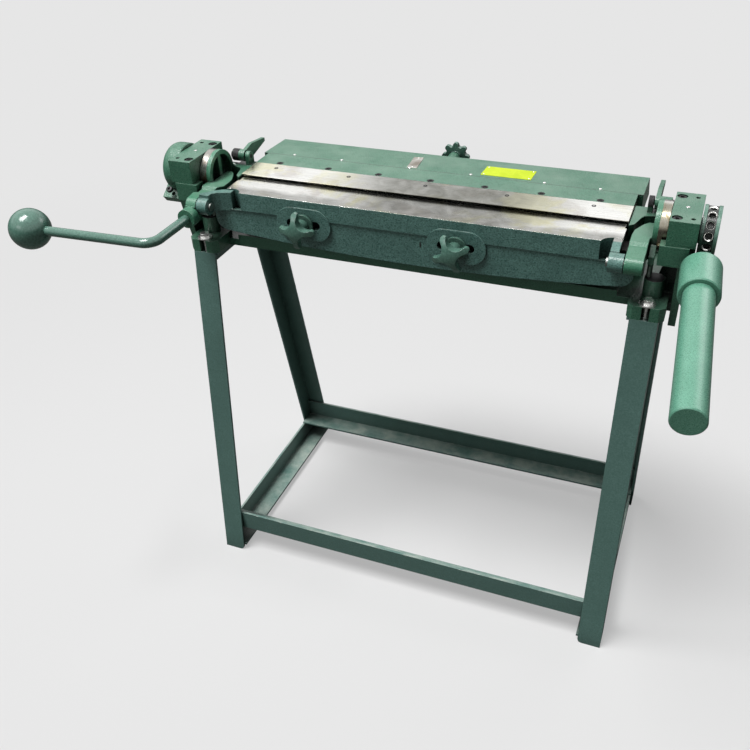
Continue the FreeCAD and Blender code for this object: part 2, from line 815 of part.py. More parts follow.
def build_jaw_and_blade():
    full = ("0 - blade_half", "2 * blade_half")
    node(plate_x([("jaw_front_y", "jaw_z"), ("jaw_front_y", "jaw_z - slot_height"),
                  ("jaw_front_y + jaw_chamfer", "jaw_low_z"), ("seam_y", "jaw_low_z"),
                  ("seam_y", "jaw_z")], *full), "jaw")
    node(plate_x([("axis_y", "axis_z"), ("tongue_back_y", "axis_z"),
                  ("tongue_back_y", "tongue_z"), ("blade_back_y", "tongue_z"),
                  ("blade_back_y", "axis_z + blade_rise"), ("axis_y", "axis_z + blade_edge")],
                 *full), "folding_blade")
    holder = plate_x([("blade_back_y", "tongue_z"), ("tongue_back_y", "tongue_z"),
                      ("tongue_back_y", "axis_z"), ("seam_y - holder_leg", "axis_z"),
                      ("seam_y - holder_leg", "jaw_z"), ("seam_y", "jaw_z"),
                      ("seam_y", "holder_z"), ("blade_back_y", "holder_z")], *full)
    first = "holder_bore_shift - holder_bore_pitch * (holder_bore_count - 1) / 2"
    bores = [cylinder(Z_AXIS, "holder_bore_radius", "holder_bore_depth + 1",
                      f"{first} + holder_bore_pitch * {index}",
                      "blade_back_y + holder_bore_radius + holder_bore_inset",
                      "holder_z - holder_bore_depth")
             for index in range(int(size("holder_bore_count")))]
    node(cut(holder, *bores), "blade_holder")
    node(box("0 - blade_half + gauge_bar_inset", "2 * (blade_half - gauge_bar_inset)",
             "seam_y - holder_leg - gauge_bar_width - seat_gap", "gauge_bar_width",
             "jaw_z + seat_gap", "slot_height - gauge_bar_gap"), "gauge_bar")


def build_cover():
    """The folded cover behind the blade, open below, with the bush of the gauge screw."""
    def round_cornered(inset, top):
        """A block whose rear corner on the operator's left is rounded."""
        block = box(f"{inset} - cover_out", f"2 * (cover_out - {inset})", f"seam_y + {inset}",
                    f"apron_back_y - seam_y - {inset}", "apron_low_z - 1",
                    f"{top} - apron_low_z + 2")
        left = size("apron_back_y") - 1

        def at_corner(edge):
            middle = edge.CenterOfMass
            return runs_along(edge, Z_AXIS) and middle.x < 0 and middle.y > left
        return rounded(block, size("cover_round"), at_corner)

    full = ("0 - cover_out", "2 * cover_out")
    outer = plate_x([("seam_y", "holder_z"), ("cover_back_y", "holder_z - cover_fall"),
                     ("apron_back_y", "apron_low_z"), ("seam_y", "apron_low_z")], *full)
    lean = "(apron_lean / (apron_drop + holder_rise - cover_fall))"
    inner = ("cover_wall - cover_out", "2 * (cover_out - cover_wall)")
    hollow = plate_x([("seam_y + cover_wall", "holder_z - cover_wall"),
                      ("cover_back_y - cover_wall", "holder_z - cover_fall - cover_wall"),
                      (f"apron_back_y - cover_wall * (1 + {lean})", "apron_low_z - 1"),
                      ("seam_y + cover_wall", "apron_low_z - 1")], *inner)
    shell = cut(common(outer, round_cornered("0", "holder_z")),
                common(hollow, round_cornered("cover_wall", "holder_z")))
    bush = cylinder(Y_AXIS, "bush_radius", "bush_reach", "gauge_offset", "cover_back_y",
                    "gauge_z")
    bore = cylinder(Y_AXIS, "screw_radius + running_fit", "bush_back_y - seam_y",
                    "gauge_offset", "seam_y + cover_wall + 1", "gauge_z")
    node(cut(fuse(shell, bush), bore), "back_cover")
    start = "seam_y + cover_wall + seat_gap"
    end = "bush_back_y + gauge_knob_gap + gauge_hub_length + gauge_thick / 2"
    node(cylinder(Y_AXIS, "screw_radius", f"{end} - ({start})", "gauge_offset", start,
                  "gauge_z"), "gauge_screw")
    place = FreeCAD.Vector(size("gauge_offset"), size("bush_back_y") + size("gauge_knob_gap"),
                           size("gauge_z"))
    depth = size("gauge_hub_length") + size("gauge_thick") / 2 + size("seat_gap")
    shaped("gauge_knob", star("gauge", size("bush_radius"), depth),
           FreeCAD.Placement(place, FreeCAD.Rotation(Z_AXIS, Y_AXIS)))


def build_stop_lever(side):
    """A leaf-shaped lever that lies back on its pin behind the end disc."""
    hand = "left" if side < 0 else "right"
    near, far = f"{hand}_lever_out", f"{hand}_lever_out + lever_hub_length"
    hub_span = span(side, near, far)
    hub = cylinder(X_AXIS, "lever_hub_radius", hub_span[1], hub_span[0], "lever_y", "lever_z")
    tip_y = "lever_y + lever_length * cos(lever_slope * 1 deg)"
    tip_z = "lever_z + lever_length * sin(lever_slope * 1 deg)"
    leaf = plate_x([("lever_y", "lever_z - lever_hub_radius + 1"),
                    ("lever_y + lever_belly", "lever_z - lever_hub_radius + 2"),
                    (tip_y, f"{tip_z} - lever_tip / 2"), (tip_y, f"{tip_z} + lever_tip / 2"),
                    ("lever_y + lever_belly", "lever_z + lever_belly_rise"),
                    ("lever_y", "lever_z + lever_hub_radius - 1")],
                   *span(side, near, f"{near} + lever_thick"))
    start, length = span(side, f"{near} - 1", f"{far} + 1")
    bore = cylinder(X_AXIS, "lever_pin_radius + running_fit", length, start,
                    "lever_y", "lever_z")
    node(cut(fuse(hub, leaf), bore), f"{hand}_stop_lever")
    head_start = f"{far} + seat_gap"
    pin_span = span(side, f"{near} - bracket_gap - bracket_width",
                    f"{head_start} + hinge_pin_end")
    head_span = span(side, head_start, f"{head_start} + hinge_pin_end")
    pin = cylinder(X_AXIS, "lever_pin_radius", pin_span[1], pin_span[0], "lever_y", "lever_z")
    head = cylinder(X_AXIS, "hinge_head_radius", head_span[1], head_span[0],
                    "lever_y", "lever_z")
    node(fuse(pin, head), f"{hand}_lever_pin")


def build_arm(side):
    """The arm from the disc's root forward to the barrel: a side view cut to a plan.

    The left arm bends outward ahead of the disc, so that its barrel stands before the disc.
    """
    side_view = plate_x([("axis_y + arm_root_back", "wing_z"),
                         ("axis_y - arm_shoulder", "wing_z"),
                         ("axis_y - arm_shoulder - arm_step", "wing_z - arm_step"),
                         ("barrel_y", "barrel_z + barrel_radius"),
                         ("barrel_y", "barrel_z - barrel_radius"),
                         ("axis_y - arm_shoulder - arm_step", "barrel_z - barrel_radius"),
                         ("axis_y - arm_step", "axis_z - disc_radius"),
                         ("axis_y + arm_root_back / 2", "axis_z - arm_root_depth")],
                        *span(side, "arm_out", "left_barrel_end"))
    bend_y = "barrel_y + barrel_radius"
    if side < 0:
        front = [("arm_out", "bar_front_y"), ("left_barrel_out", f"{bend_y} - 1"),
                 ("left_barrel_out", "barrel_y"), ("left_barrel_end", "barrel_y"),
                 ("left_barrel_end", bend_y),
                 ("disc_in_out + arm_neck", f"{bend_y} + arm_step / 2"),
                 ("disc_in_out + arm_neck", "axis_y - disc_radius"),
                 ("disc_in_out + 1", "axis_y - disc_radius + disc_rim")]
    else:
        front = [("arm_out", "barrel_y"), ("arm_end_out", "barrel_y"),
                 ("arm_end_out", "axis_y - disc_radius"),
                 ("disc_in_out + 1", "axis_y - disc_radius + disc_rim")]
    root = [("disc_in_out + 1", "axis_y + arm_root_back"),
            ("disc_in_out - arm_width / 3", "axis_y + arm_root_back"),
            ("arm_out + arm_width / 2.4", "axis_y + arm_root_back / 2"),
            ("arm_out + arm_width / 5", "axis_y - arm_step"),
            ("arm_out + 2", "axis_y - arm_width / 2"), ("arm_out", "axis_y - arm_width")]
    top_view = plate_z([(across(side, distance), place) for distance, place in root + front],
                       "axis_z - disc_radius - barrel_radius", "disc_radius + barrel_radius")
    return common(side_view, top_view)


def build_stop_foot(side):
    """The lug under a disc with its stop screw and nut, which rest on the post."""
    middle = "axis_y - post_ahead"
    across_x = across(side, "disc_in_out + heel_lug_width / 2")
    lug = plate_x([(f"{middle} - heel_lug_half", "heel_lug_z"),
                   (f"{middle} + heel_lug_half", "heel_lug_z"),
                   ("axis_y - heel_lug_half * 2", "axis_z - disc_radius + disc_rim"),
                   ("axis_y - disc_radius + disc_rim", "axis_z - heel_lug_half"),
                   (f"{middle} - heel_lug_half", "axis_z - disc_radius + disc_rim")],
                  *span(side, "disc_in_out", "disc_in_out + heel_lug_width"))
    screw = cylinder(Z_AXIS, "heel_screw_radius", "heel_lug_z - heel_z + 1", across_x,
                     "post_y", "heel_z")
    nut = cylinder(Z_AXIS, "heel_lug_width / 2", "heel_nut_thick", across_x, "post_y",
                   "heel_lug_z - heel_nut_thick")
    return [lug, screw, nut]


def build_end_disc(side):
    """A cupped disc on its trunnion, with its arm, its stop foot and its hinge barrel."""
    hand = "left" if side < 0 else "right"
    disc_span = span(side, "disc_in_out", "disc_out")
    disc = cylinder(X_AXIS, "disc_radius", disc_span[1], disc_span[0], "axis_y", "axis_z")
    cup_span = span(side, "disc_in_out - 1", "disc_out - disc_floor")
    cup = cylinder(X_AXIS, "disc_radius - disc_rim", cup_span[1], cup_span[0],
                   "axis_y", "axis_z")
    far = "end_collar_out + end_collar_width" if side < 0 else "drum_out + drum_width"
    trunnion_span = span(side, "disc_out - 1", far)
    trunnion = cylinder(X_AXIS, "trunnion_radius", trunnion_span[1], trunnion_span[0],
                        "axis_y", "axis_z")
    barrel_span = span(side, f"{hand}_barrel_out", f"{hand}_barrel_end")
    barrel = cylinder(X_AXIS, "barrel_radius", barrel_span[1], barrel_span[0], "barrel_y",
                      "barrel_z")
    rib = box(*span(side, "disc_in_out + 2", "disc_out - disc_floor + 1"),
              "axis_y - cup_rib / 2", "cup_rib", "axis_z - disc_radius + 2",
              "2 * disc_radius - 4")
    pieces = [cut(disc, cup), trunnion, build_arm(side), barrel, rib, *build_stop_foot(side)]
    bore_start, bore_length = span(side, f"{hand}_barrel_out - 1",
                                   f"{hand}_barrel_end - hinge_pin_end")
    cuts = [cylinder(X_AXIS, "hinge_bore", bore_length, bore_start, "barrel_y", "barrel_z")]
    if side < 0:
        mouth = "barrel_y - handle_hub_ahead"
        pieces.append(cylinder(Y_AXIS, "handle_hub_radius", "handle_hub_length",
                               "0 - handle_out", mouth, "handle_z"))
        pieces.append(box(*barrel_span, f"{mouth} + handle_hub_length - 1",
                          "handle_hub_ahead - handle_hub_length + 1",
                          "handle_z - handle_hub_radius + disc_rim / 2",
                          "barrel_z - handle_z + handle_hub_radius"))
        cuts.append(cylinder(Y_AXIS, "rod_radius + running_fit", "handle_socket + 1",
                             "0 - handle_out", f"{mouth} - 1", "handle_z"))
    node(cut(fuse(*pieces), *cuts), f"{hand}_end_disc")
    build_hinge_pin(side, hand)


def build_hinge_pin(side, hand):
    """The headed pin that joins the wing's lug to the barrel of the arm."""
    head_end = f"{hand}_lug_out - seat_gap"
    pin_span = span(side, head_end, f"{hand}_barrel_end - hinge_pin_end - seat_gap")
    head_span = span(side, f"{head_end} - hinge_head_thick", head_end)
    pin = cylinder(X_AXIS, "hinge_pin_radius", pin_span[1], pin_span[0], "barrel_y", "barrel_z")
    head = cylinder(X_AXIS, "hinge_head_radius", head_span[1], head_span[0],
                    "barrel_y", "barrel_z")
    node(fuse(pin, head), f"{hand}_hinge_pin")


def clamp_places():
    return (("left", "left_clamp_x", "left_clamp_z"), ("right", "right_clamp_x", "right_clamp_z"))


def build_wing_plate():
    """The wing: a thick front band, a thin skirt with a bellied lower edge, notched ends."""
    full = ("0 - blade_half", "2 * blade_half")
    step = "wing_band_proud"
    inner, band_back = "wing_front_y + wing_wall", "bar_front_y - seat_gap"
    ell = plate_x([("axis_y", "wing_z"), ("band_front_y", "wing_z"),
                   ("band_front_y", "band_low_z"), ("wing_front_y", f"band_low_z - {step}"),
                   ("wing_front_y", "wing_low_z"), (inner, "wing_low_z"),
                   (inner, "band_low_z"), (band_back, "band_low_z"),
                   (band_back, "wing_plate_z"), ("axis_y", "wing_plate_z")], *full)
    skirt = box("0 - wing_out", "2 * wing_out", "wing_front_y", "wing_wall", "wing_low_z",
                "overhang_z - wing_low_z")
    radius = "((blade_half * blade_half + wing_belly * wing_belly) / (2 * wing_belly))"
    belly = cylinder(Y_AXIS, radius, "2 * wing_ahead", "0", "wing_front_y - wing_ahead / 2",
                     f"wing_low_z + {radius}")
    end, middle = size("wing_out") - 1, size("wing_z") - size("wing_height") * 3 / 4

    def at_low_corner(edge):
        place = edge.CenterOfMass
        return runs_along(edge, Y_AXIS) and abs(place.x) > end and place.z < middle
    plate = rounded(common(fuse(ell, skirt), belly), size("wing_corner"), at_low_corner)
    notches = [cylinder(Z_AXIS, "band_cut_radius", "wing_band_depth + 1",
                        across(side, "blade_half - band_inset"),
                        "band_front_y - band_cut_radius / 4", "band_low_z")
               for side in (-1, 1)]
    relief_out = "sole_in_out + 1 - cheek_clearance"
    reliefs = [box(*span(side, relief_out, "blade_half + 1"),
                   "axis_y - cheek_nose - cheek_clearance",
                   "cheek_nose + cheek_clearance + 1", "wing_plate_z - 1",
                   "wing_top_thick + 2") for side in (-1, 1)]
    return cut(plate, *notches, *reliefs)


def build_lug_web(side):
    """The web from the wing's end to its lug, straight on the right and swept on the left."""
    root = "wing_front_y + wing_wall / 2"
    if side > 0:
        return plate_x([("axis_y - bar_ahead", "wing_z"), (root, "wing_z - 1"),
                        ("barrel_y + wing_wall", "barrel_z + barrel_radius"),
                        ("barrel_y", "barrel_z - barrel_radius"),
                        (root, "barrel_z - barrel_radius - wing_wall"),
                        (f"{root} + wing_wall / 2", "wing_plate_z"),
                        ("axis_y - bar_ahead", "wing_plate_z")],
                       *span(side, "right_lug_out", "blade_half"))
    outer, inner = "left_lug_end - 1", "left_lug_out"
    return plate_z([(across(side, distance), place) for distance, place in (
        ("right_lug_out", "bar_front_y - wing_wall"), ("blade_half", "bar_front_y - wing_wall"),
        ("blade_half + wing_lug_gap * 5", "bar_front_y - wing_wall - 2"),
        (f"({inner} + {outer}) / 2 - wing_wall", "wing_front_y"),
        (outer, "barrel_y + wing_wall"), (outer, "barrel_y"), (inner, "barrel_y"),
        (inner, "barrel_y + barrel_radius - arm_step"),
        ("blade_half + wing_wall", "barrel_y + barrel_radius + 3"),
        ("right_lug_out", "band_front_y + wing_band_proud"))],
        "barrel_z - barrel_radius + wing_band_proud",
        "wing_z - barrel_z + barrel_radius - 2 * wing_band_proud")


def build_wing():
    """The wing with its end lugs and the two slotted clamp pads."""
    pieces, cuts = [build_wing_plate()], []
    for side, hand in ((-1, "left"), (1, "right")):
        lug_span = span(side, f"{hand}_lug_out", f"{hand}_lug_end")
        pieces.append(cylinder(X_AXIS, "barrel_radius", lug_span[1], lug_span[0],
                               "barrel_y", "barrel_z"))
        pieces.append(build_lug_web(side))
        bore_start, bore_length = span(side, f"{hand}_lug_out - 1", f"{hand}_lug_end + 1")
        cuts.append(cylinder(X_AXIS, "hinge_bore", bore_length, bore_start,
                             "barrel_y", "barrel_z"))
    for _, x, height in clamp_places():
        pieces.append(obround("pad_length", "pad_height", "pad_proud + 1", x, "pad_front_y",
                              height))
        cuts.append(obround("slot_length", "slot_width", "pad_proud + wing_wall + 2", x,
                            "pad_front_y - 1", height))
    node(cut(fuse(*pieces), *cuts), "wing")


def build_folding_bar():
    depth = "bar_rear_y - bar_front_y"
    node(box("seat_gap - arm_out", "2 * (arm_out - seat_gap)", "bar_front_y", depth,
             "bar_z - bar_depth", "bar_depth"), "folding_bar")
    node(box("0 - right_lug_out", "2 * right_lug_out", "bar_front_y", depth, "bar_z",
             "wing_plate_z - bar_z"), "wedge_bar")
    stud_end = "knob_front_y + stud_cover"
    bore_depth = (size("knob_hub_length") + size("knob_thick") - size("stud_cover")
                  + size("seat_gap"))
    for hand, x, height in clamp_places():
        shank = cylinder(Y_AXIS, "stud_radius", f"bar_front_y - ({stud_end})", x, stud_end,
                         height)
        collar = cylinder(Y_AXIS, "collar_radius", "collar_thick", x,
                          "pad_front_y - seat_gap - collar_thick", height)
        node(fuse(shank, collar), f"{hand}_stud")
        turn = size("right_knob_turn") if hand == "right" else 0
        rotation = FreeCAD.Rotation(Z_AXIS, -Y_AXIS) * FreeCAD.Rotation(Z_AXIS, turn)
        place = FreeCAD.Vector(size(x), size("knob_back_y"), size(height))
        shaped(f"{hand}_star_knob", star("knob", size("knob_hub_radius"), bore_depth),
               FreeCAD.Placement(place, rotation))


def build_handle():
    """The round handle rod, bent once, and the ball on its end."""
    mouth = FreeCAD.Vector(-size("handle_out"), size("barrel_y") - size("handle_hub_ahead"),
                           size("handle_z"))
    seat_gap = size("seat_gap")
    start = mouth + Y_AXIS * (size("handle_socket") - seat_gap)
    corner = mouth - Y_AXIS * size("rod_ahead")
    ball = corner - FreeCAD.Vector(size("rod_reach"), size("ball_ahead"), size("ball_drop"))
    out = (ball - corner).normalize()
    incoming = (corner - start).normalize()
    reach = size("rod_bend")
    first, last = corner - incoming * reach, corner + out * reach
    half_turn = incoming.getAngle(out) / 2
    inward = (out - incoming).normalize()
    centre = corner + inward * (reach / math.tan(half_turn) / math.cos(half_turn))
    socket_floor = ball - out * (size("ball_radius") - size("ball_socket") + seat_gap)
    radius = size("rod_radius")
    section = Part.Face(Part.Wire(Part.Circle(first, incoming, radius).toShape()))
    turn_axis = incoming.cross(out).normalize()
    bend = section.revolve(centre, turn_axis, math.degrees(2 * half_turn))
    straight = Part.makeCylinder(radius, (first - start).Length, start, incoming)
    reach_out = Part.makeCylinder(radius, (socket_floor - last).Length, last, out)
    shaped("handle_rod", straight.fuse([bend, reach_out]).removeSplitter())
    knob = Part.makeSphere(size("ball_radius"), ball, out)
    socket = Part.makeCylinder(radius + size("running_fit"), size("ball_socket") + 1,
                               ball - out * (size("ball_radius") + 1), out)
    shaped("handle_ball", knob.cut(socket))


def build_left_collar():
    """The round-edged collar clamped on the left trunnion, split at its bolted ear."""
    start, width = span(-1, "end_collar_out", "end_collar_out + end_collar_width")
    blank = cylinder(X_AXIS, "end_collar_radius", width, start, "axis_y", "axis_z")
    middle = -size("end_collar_out") - size("end_collar_width") / 2

    def outer_rim(edge):
        return edge.Curve.TypeId == "Part::GeomCircle" and edge.Curve.Center.x < middle

    def inner_rim(edge):
        return edge.Curve.TypeId == "Part::GeomCircle" and edge.Curve.Center.x > middle
    collar = rounded(rounded(blank, size("end_collar_round"), outer_rim),
                     size("end_collar_edge"), inner_rim)
    reach = "end_collar_radius - trunnion_radius + ear_length"
    ear = box("0", width, "0", reach, "0 - ear_width / 2", "ear_width")
    split = box("0 - 1", f"{width} + 2", "0", f"{reach} + 1", "0 - ear_split / 2", "ear_split")
    bolt = cylinder(Z_AXIS, "ear_bolt_radius", "ear_width + 2", "0", "0", "0")
    along = "trunnion_radius - end_collar_radius - ear_length / 2"
    lean = FreeCAD.Rotation(X_AXIS, 180 + size("ear_angle"))
    for tool, step, out, lift in ((ear, "0", "trunnion_radius", "0"),
                                  (split, "0 - 1", "trunnion_radius", "0"),
                                  (bolt, f"({width}) / 2", f"trunnion_radius - ({along})",
                                   "ear_width / 2 + 1")):
        tool.Placement.Rotation = lean
        bind(tool, "Placement.Base.x", f"{start} + {step}")
        bind(tool, "Placement.Base.y", f"axis_y - ({out}) * cos(ear_angle * 1 deg)"
             f" - ({lift}) * sin(ear_angle * 1 deg)")
        bind(tool, "Placement.Base.z", f"axis_z - ({out}) * sin(ear_angle * 1 deg)"
             f" + ({lift}) * cos(ear_angle * 1 deg)")
    bore = cylinder(X_AXIS, "trunnion_radius + running_fit", f"{width} + 2", f"{start} - 1",
                    "axis_y", "axis_z")
    node(cut(fuse(collar, ear), bore, split, bolt), "left_collar")


def build_stop_drum():
    """The drum on the right trunnion, with a shallow groove and a ring of stop holes."""
    inner, width, radius = size("drum_out"), size("drum_width"), size("drum_radius")
    axis = FreeCAD.Vector(0, size("axis_y"), size("axis_z"))
    drum = Part.makeCylinder(radius, width, axis + X_AXIS * inner, X_AXIS)
    groove_start = axis + X_AXIS * (inner + (width - size("groove_width")) / 2)
    ring = Part.makeCylinder(radius + 1, size("groove_width"), groove_start, X_AXIS)
    floor_radius = radius - size("groove_depth")
    ring = ring.cut(Part.makeCylinder(floor_radius, size("groove_width"), groove_start, X_AXIS))
    drum = drum.cut(ring)
    drum = drum.cut(Part.makeCylinder(size("trunnion_radius") + size("running_fit"), width + 2,
                                      axis + X_AXIS * (inner - 1), X_AXIS))
    count = int(size("stop_hole_count"))
    hole, mouth, depth = (size("stop_hole_" + name) for name in ("radius", "mouth", "depth"))
    middle = axis + X_AXIS * (inner + width / 2)
    profile = [(0, floor_radius - depth), (hole, floor_radius - depth),
               (hole, floor_radius - mouth + hole), (mouth + 1, floor_radius + 1),
               (0, floor_radius + 1)]
    for index in range(count):
        outward = FreeCAD.Rotation(X_AXIS, 360 * index / count).multVec(Z_AXIS)
        corners = [middle + X_AXIS * across_hole + outward * out for across_hole, out in profile]
        section = Part.Face(Part.makePolygon(corners + corners[:1]))
        drum = drum.cut(section.revolve(middle, outward, 360))
    shaped("stop_drum", drum)


def build_weight():
    """The balance bar in its socket, which a web joins to the stop drum."""
    axis = FreeCAD.Vector(0, size("axis_y"), size("axis_z"))
    middle_out = size("drum_out") + size("drum_width") / 2
    root = axis + FreeCAD.Vector(middle_out + size("weight_outset"), -size("weight_ahead"),
                                 -size("weight_drop"))
    end = root + FreeCAD.Vector(size("weight_toe_out"), -size("weight_length"),
                                -size("weight_droop"))
    along = (end - root).normalize()
    radius, socket_radius = size("weight_radius"), size("socket_radius")
    bar = Part.makeCylinder(radius, (end - root).Length, root, along)
    far_edges = [edge for edge in bar.Edges
                 if edge.Curve.TypeId == "Part::GeomCircle"
                 and edge.Curve.Center.distanceToPoint(end) < 1]
    shaped("weight_bar", bar.makeChamfer(size("weight_chamfer"), far_edges))
    bore = Part.makeCylinder(radius + size("weight_fit"), size("socket_length") + 2, root, along)
    socket = Part.makeCylinder(socket_radius, size("socket_length"), root, along)
    mouth_edges = [edge for edge in socket.Edges
                   if edge.Curve.TypeId == "Part::GeomCircle"
                   and edge.Curve.Center.distanceToPoint(root) > 1]
    socket = socket.makeChamfer(size("weight_chamfer"), mouth_edges)
    wall = size("socket_wall")
    back_wall = Part.makeCylinder(socket_radius, wall, root - along * wall, along)
    width, height = size("web_width"), size("web_height")
    web_start = FreeCAD.Vector(root.x - width / 2, root.y + 1, root.z - height * 2 / 3)
    web = Part.makeBox(width, axis.y - root.y, height, web_start)
    drum = Part.makeCylinder(size("drum_radius") + size("running_fit"), 2 * size("drum_width"),
                             axis + X_AXIS * (size("drum_out") - size("drum_width") / 2), X_AXIS)
    joined = socket.fuse([back_wall, web])
    shaped("weight_socket", joined.cut(bore).cut(drum).removeSplitter())


build_stand()
for hand_side in (-1, 1):
    build_end_frame(hand_side)
    build_stop_lever(hand_side)
    build_end_disc(hand_side)
build_bolts()
build_bed()
build_jaw_and_blade()
build_cover()
build_wing()
build_folding_bar()
build_handle()
build_left_collar()
build_stop_drum()
build_weight()
doc.recompute()

faults = [item.Label for item in doc.Objects
          if "Invalid" in item.State or "Error" in item.State]
faults += [item.Label for item in nodes if item.Shape.isNull() or not item.Shape.isValid()]
if faults:
    raise SystemExit("failed pieces: " + ", ".join(faults))

# The finished machine stands with the middle of its whole box over the origin.
whole = FreeCAD.BoundBox()
for item in nodes:
    whole.add(item.Shape.optimalBoundingBox(False, False))
shift = FreeCAD.Vector(-whole.Center.x, -whole.Center.y, -whole.ZMin)
print(f"shift: {shift.x:.4f} {shift.y:.4f} {shift.z:.4f}")

os.makedirs("parts", exist_ok=True)
for item in nodes:
    item.Shape.translated(shift).exportStep(f"parts/{item.Label}.step")
    print(f"{item.Label}: {item.Shape.Volume / 1000:.0f} cm3, {len(item.Shape.Solids)} solids")
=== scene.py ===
# %% [markdown]
# # Dressing a hand bar folder
# The machine folds sheet metal: a heavy wing swings up in front of a fixed blade. Its castings,
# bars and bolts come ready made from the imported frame, each at its real size and place. This
# lesson gives every one of them its finish, and adds the small things that a workshop would
# screw, rivet or weld on.

# %% Load the frame
import json
import math

import bmesh
import bpy
from mathutils import Matrix, Vector


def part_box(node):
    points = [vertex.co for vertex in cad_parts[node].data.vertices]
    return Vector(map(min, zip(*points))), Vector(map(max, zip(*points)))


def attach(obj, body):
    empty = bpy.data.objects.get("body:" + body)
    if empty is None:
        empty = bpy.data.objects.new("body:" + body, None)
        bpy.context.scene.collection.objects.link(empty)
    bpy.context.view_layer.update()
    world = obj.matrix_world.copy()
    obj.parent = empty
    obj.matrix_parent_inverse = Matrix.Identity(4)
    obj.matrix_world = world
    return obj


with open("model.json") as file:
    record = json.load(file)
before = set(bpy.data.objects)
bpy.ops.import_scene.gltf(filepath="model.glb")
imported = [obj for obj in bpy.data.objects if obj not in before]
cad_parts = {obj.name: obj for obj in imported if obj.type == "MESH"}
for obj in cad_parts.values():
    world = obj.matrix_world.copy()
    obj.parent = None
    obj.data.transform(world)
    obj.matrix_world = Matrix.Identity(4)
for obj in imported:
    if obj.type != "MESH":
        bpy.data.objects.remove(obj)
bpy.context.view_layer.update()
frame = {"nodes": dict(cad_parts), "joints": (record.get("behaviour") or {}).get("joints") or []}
nodes = frame["nodes"]
joint_places = {joint["name"]: Vector(joint["pos_m"]) for joint in frame["joints"]}
fold_axis = joint_places["bar_swing"]
bed_low, bed_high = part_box("bed")
middle_x = (bed_low.x + bed_high.x) / 2
MM = 0.001


def spot(x, y, z):
    """A place measured in millimetres from the fold axis at the middle of the blade."""
    return Vector((middle_x + x * MM, fold_axis.y + y * MM, fold_axis.z + z * MM))


# %% [markdown]
# The camera stands where the photographer stood: above head height, to the right of the
# machine's middle, and held slightly off level. Three angles in degrees say more to a reader
# than a matrix does, so the camera's axes are worked out from them.

# %% Camera
camera_place = Vector((0.6131, -1.3418, 1.5648))
camera_turn, camera_rise, camera_roll = (math.radians(angle) for angle in (22.05, 35.92, -2.2))
picture_width = 750
focal_length = 834.8
picture_middle = Vector((400.8, 385.7))

back = Vector((math.sin(camera_turn) * math.cos(camera_rise),
               -math.cos(camera_turn) * math.cos(camera_rise), math.sin(camera_rise)))
right = Vector((0, 0, 1)).cross(back).normalized()
up = back.cross(right)
rolled_right = right * math.cos(camera_roll) + up * math.sin(camera_roll)
rolled_up = up * math.cos(camera_roll) - right * math.sin(camera_roll)
lens = bpy.data.cameras.new("camera")
lens.sensor_width = 36
lens.lens = focal_length * lens.sensor_width / picture_width
lens.shift_x = (picture_width / 2 - picture_middle.x) / picture_width
lens.shift_y = (picture_middle.y - picture_width / 2) / picture_width
camera = bpy.data.objects.new("camera", lens)
camera.matrix_world = Matrix.Translation(camera_place) @ Matrix(
    (rolled_right, rolled_up, back)).transposed().to_4x4()
bpy.context.scene.collection.objects.link(camera)
bpy.context.scene.camera = camera
print(f"lens {lens.lens:.1f} mm")

# %% [markdown]
# Colours are easiest to judge in the numbers that a picture editor shows, 0 to 255. Blender's
# sockets want linear light instead, so one helper turns the first into the second.


# %% Colours
def colour(red, green, blue):
    """A picture colour as the linear colour with alpha that a socket takes."""
    def linear(value):
        share = value / 255
        return share / 12.92 if share <= 0.04045 else ((share + 0.055) / 1.055) ** 2.4
    return (linear(red), linear(green), linear(blue), 1)


pale = colour(230, 230, 230)

# %% [markdown]
# Materials are node trees, and the same few effects come back in each: dimples in the enamel,
# wear and a painted highlight on the edges, dust on top, stains. Each effect is built once as a
# node group with named inputs. These helpers make a group, place a node and join sockets, so
# that every material below reads as a short list of steps.


# %% Node helpers
def start_group(name, inputs, outputs):
    """An empty node group with its sockets; returns the tree, its entry and its exit."""
    tree = bpy.data.node_groups.new(name, "ShaderNodeTree")
    for label, kind, value in inputs:
        socket = tree.interface.new_socket(label, in_out="INPUT", socket_type="NodeSocket" + kind)
        if value is not None:
            socket.default_value = value
    for label, kind in outputs:
        tree.interface.new_socket(label, in_out="OUTPUT", socket_type="NodeSocket" + kind)
    return tree, tree.nodes.new("NodeGroupInput"), tree.nodes.new("NodeGroupOutput")


def join(tree, socket, value):
    """Link a socket to another node's output, or set it to a plain value."""
    if isinstance(value, bpy.types.NodeSocket):
        tree.links.new(value, socket)
    else:
        socket.default_value = value


def fill(tree, node, *values):
    """Link or set a node's inputs in their order."""
    for socket, value in zip(node.inputs, values):
        join(tree, socket, value)


def put(tree, kind, settings=None, **sockets):
    """Place a node, set its settings, and set or link its named sockets."""
    node = tree.nodes.new("ShaderNode" + kind)
    for key, value in (settings or {}).items():
        setattr(node, key, value)
    feed(tree, node, sockets)
    return node


def feed(tree, node, sockets):
    """Set or link a node's inputs; an underscore in a label stands for a space."""
    for label, value in sockets.items():
        join(tree, node.inputs[label.replace("_", " ")], value)


def effect(tree, name, **sockets):
    """Place a finished node group."""
    return put(tree, "Group", {"node_tree": bpy.data.node_groups[name]}, **sockets)


def number(tree, operation, *values):
    """A sum, product or other step on one or two numbers; returns its output."""
    node = put(tree, "Math", {"operation": operation})
    fill(tree, node, *values)
    return node.outputs[0]


def ramp(tree, value, low, high, start=0.0, end=1.0):
    """Stretch a value from one range to another, held at both ends."""
    node = put(tree, "MapRange", {"clamp": True}, Value=value, From_Min=low, From_Max=high,
               To_Min=start, To_Max=end)
    return node.outputs["Result"]


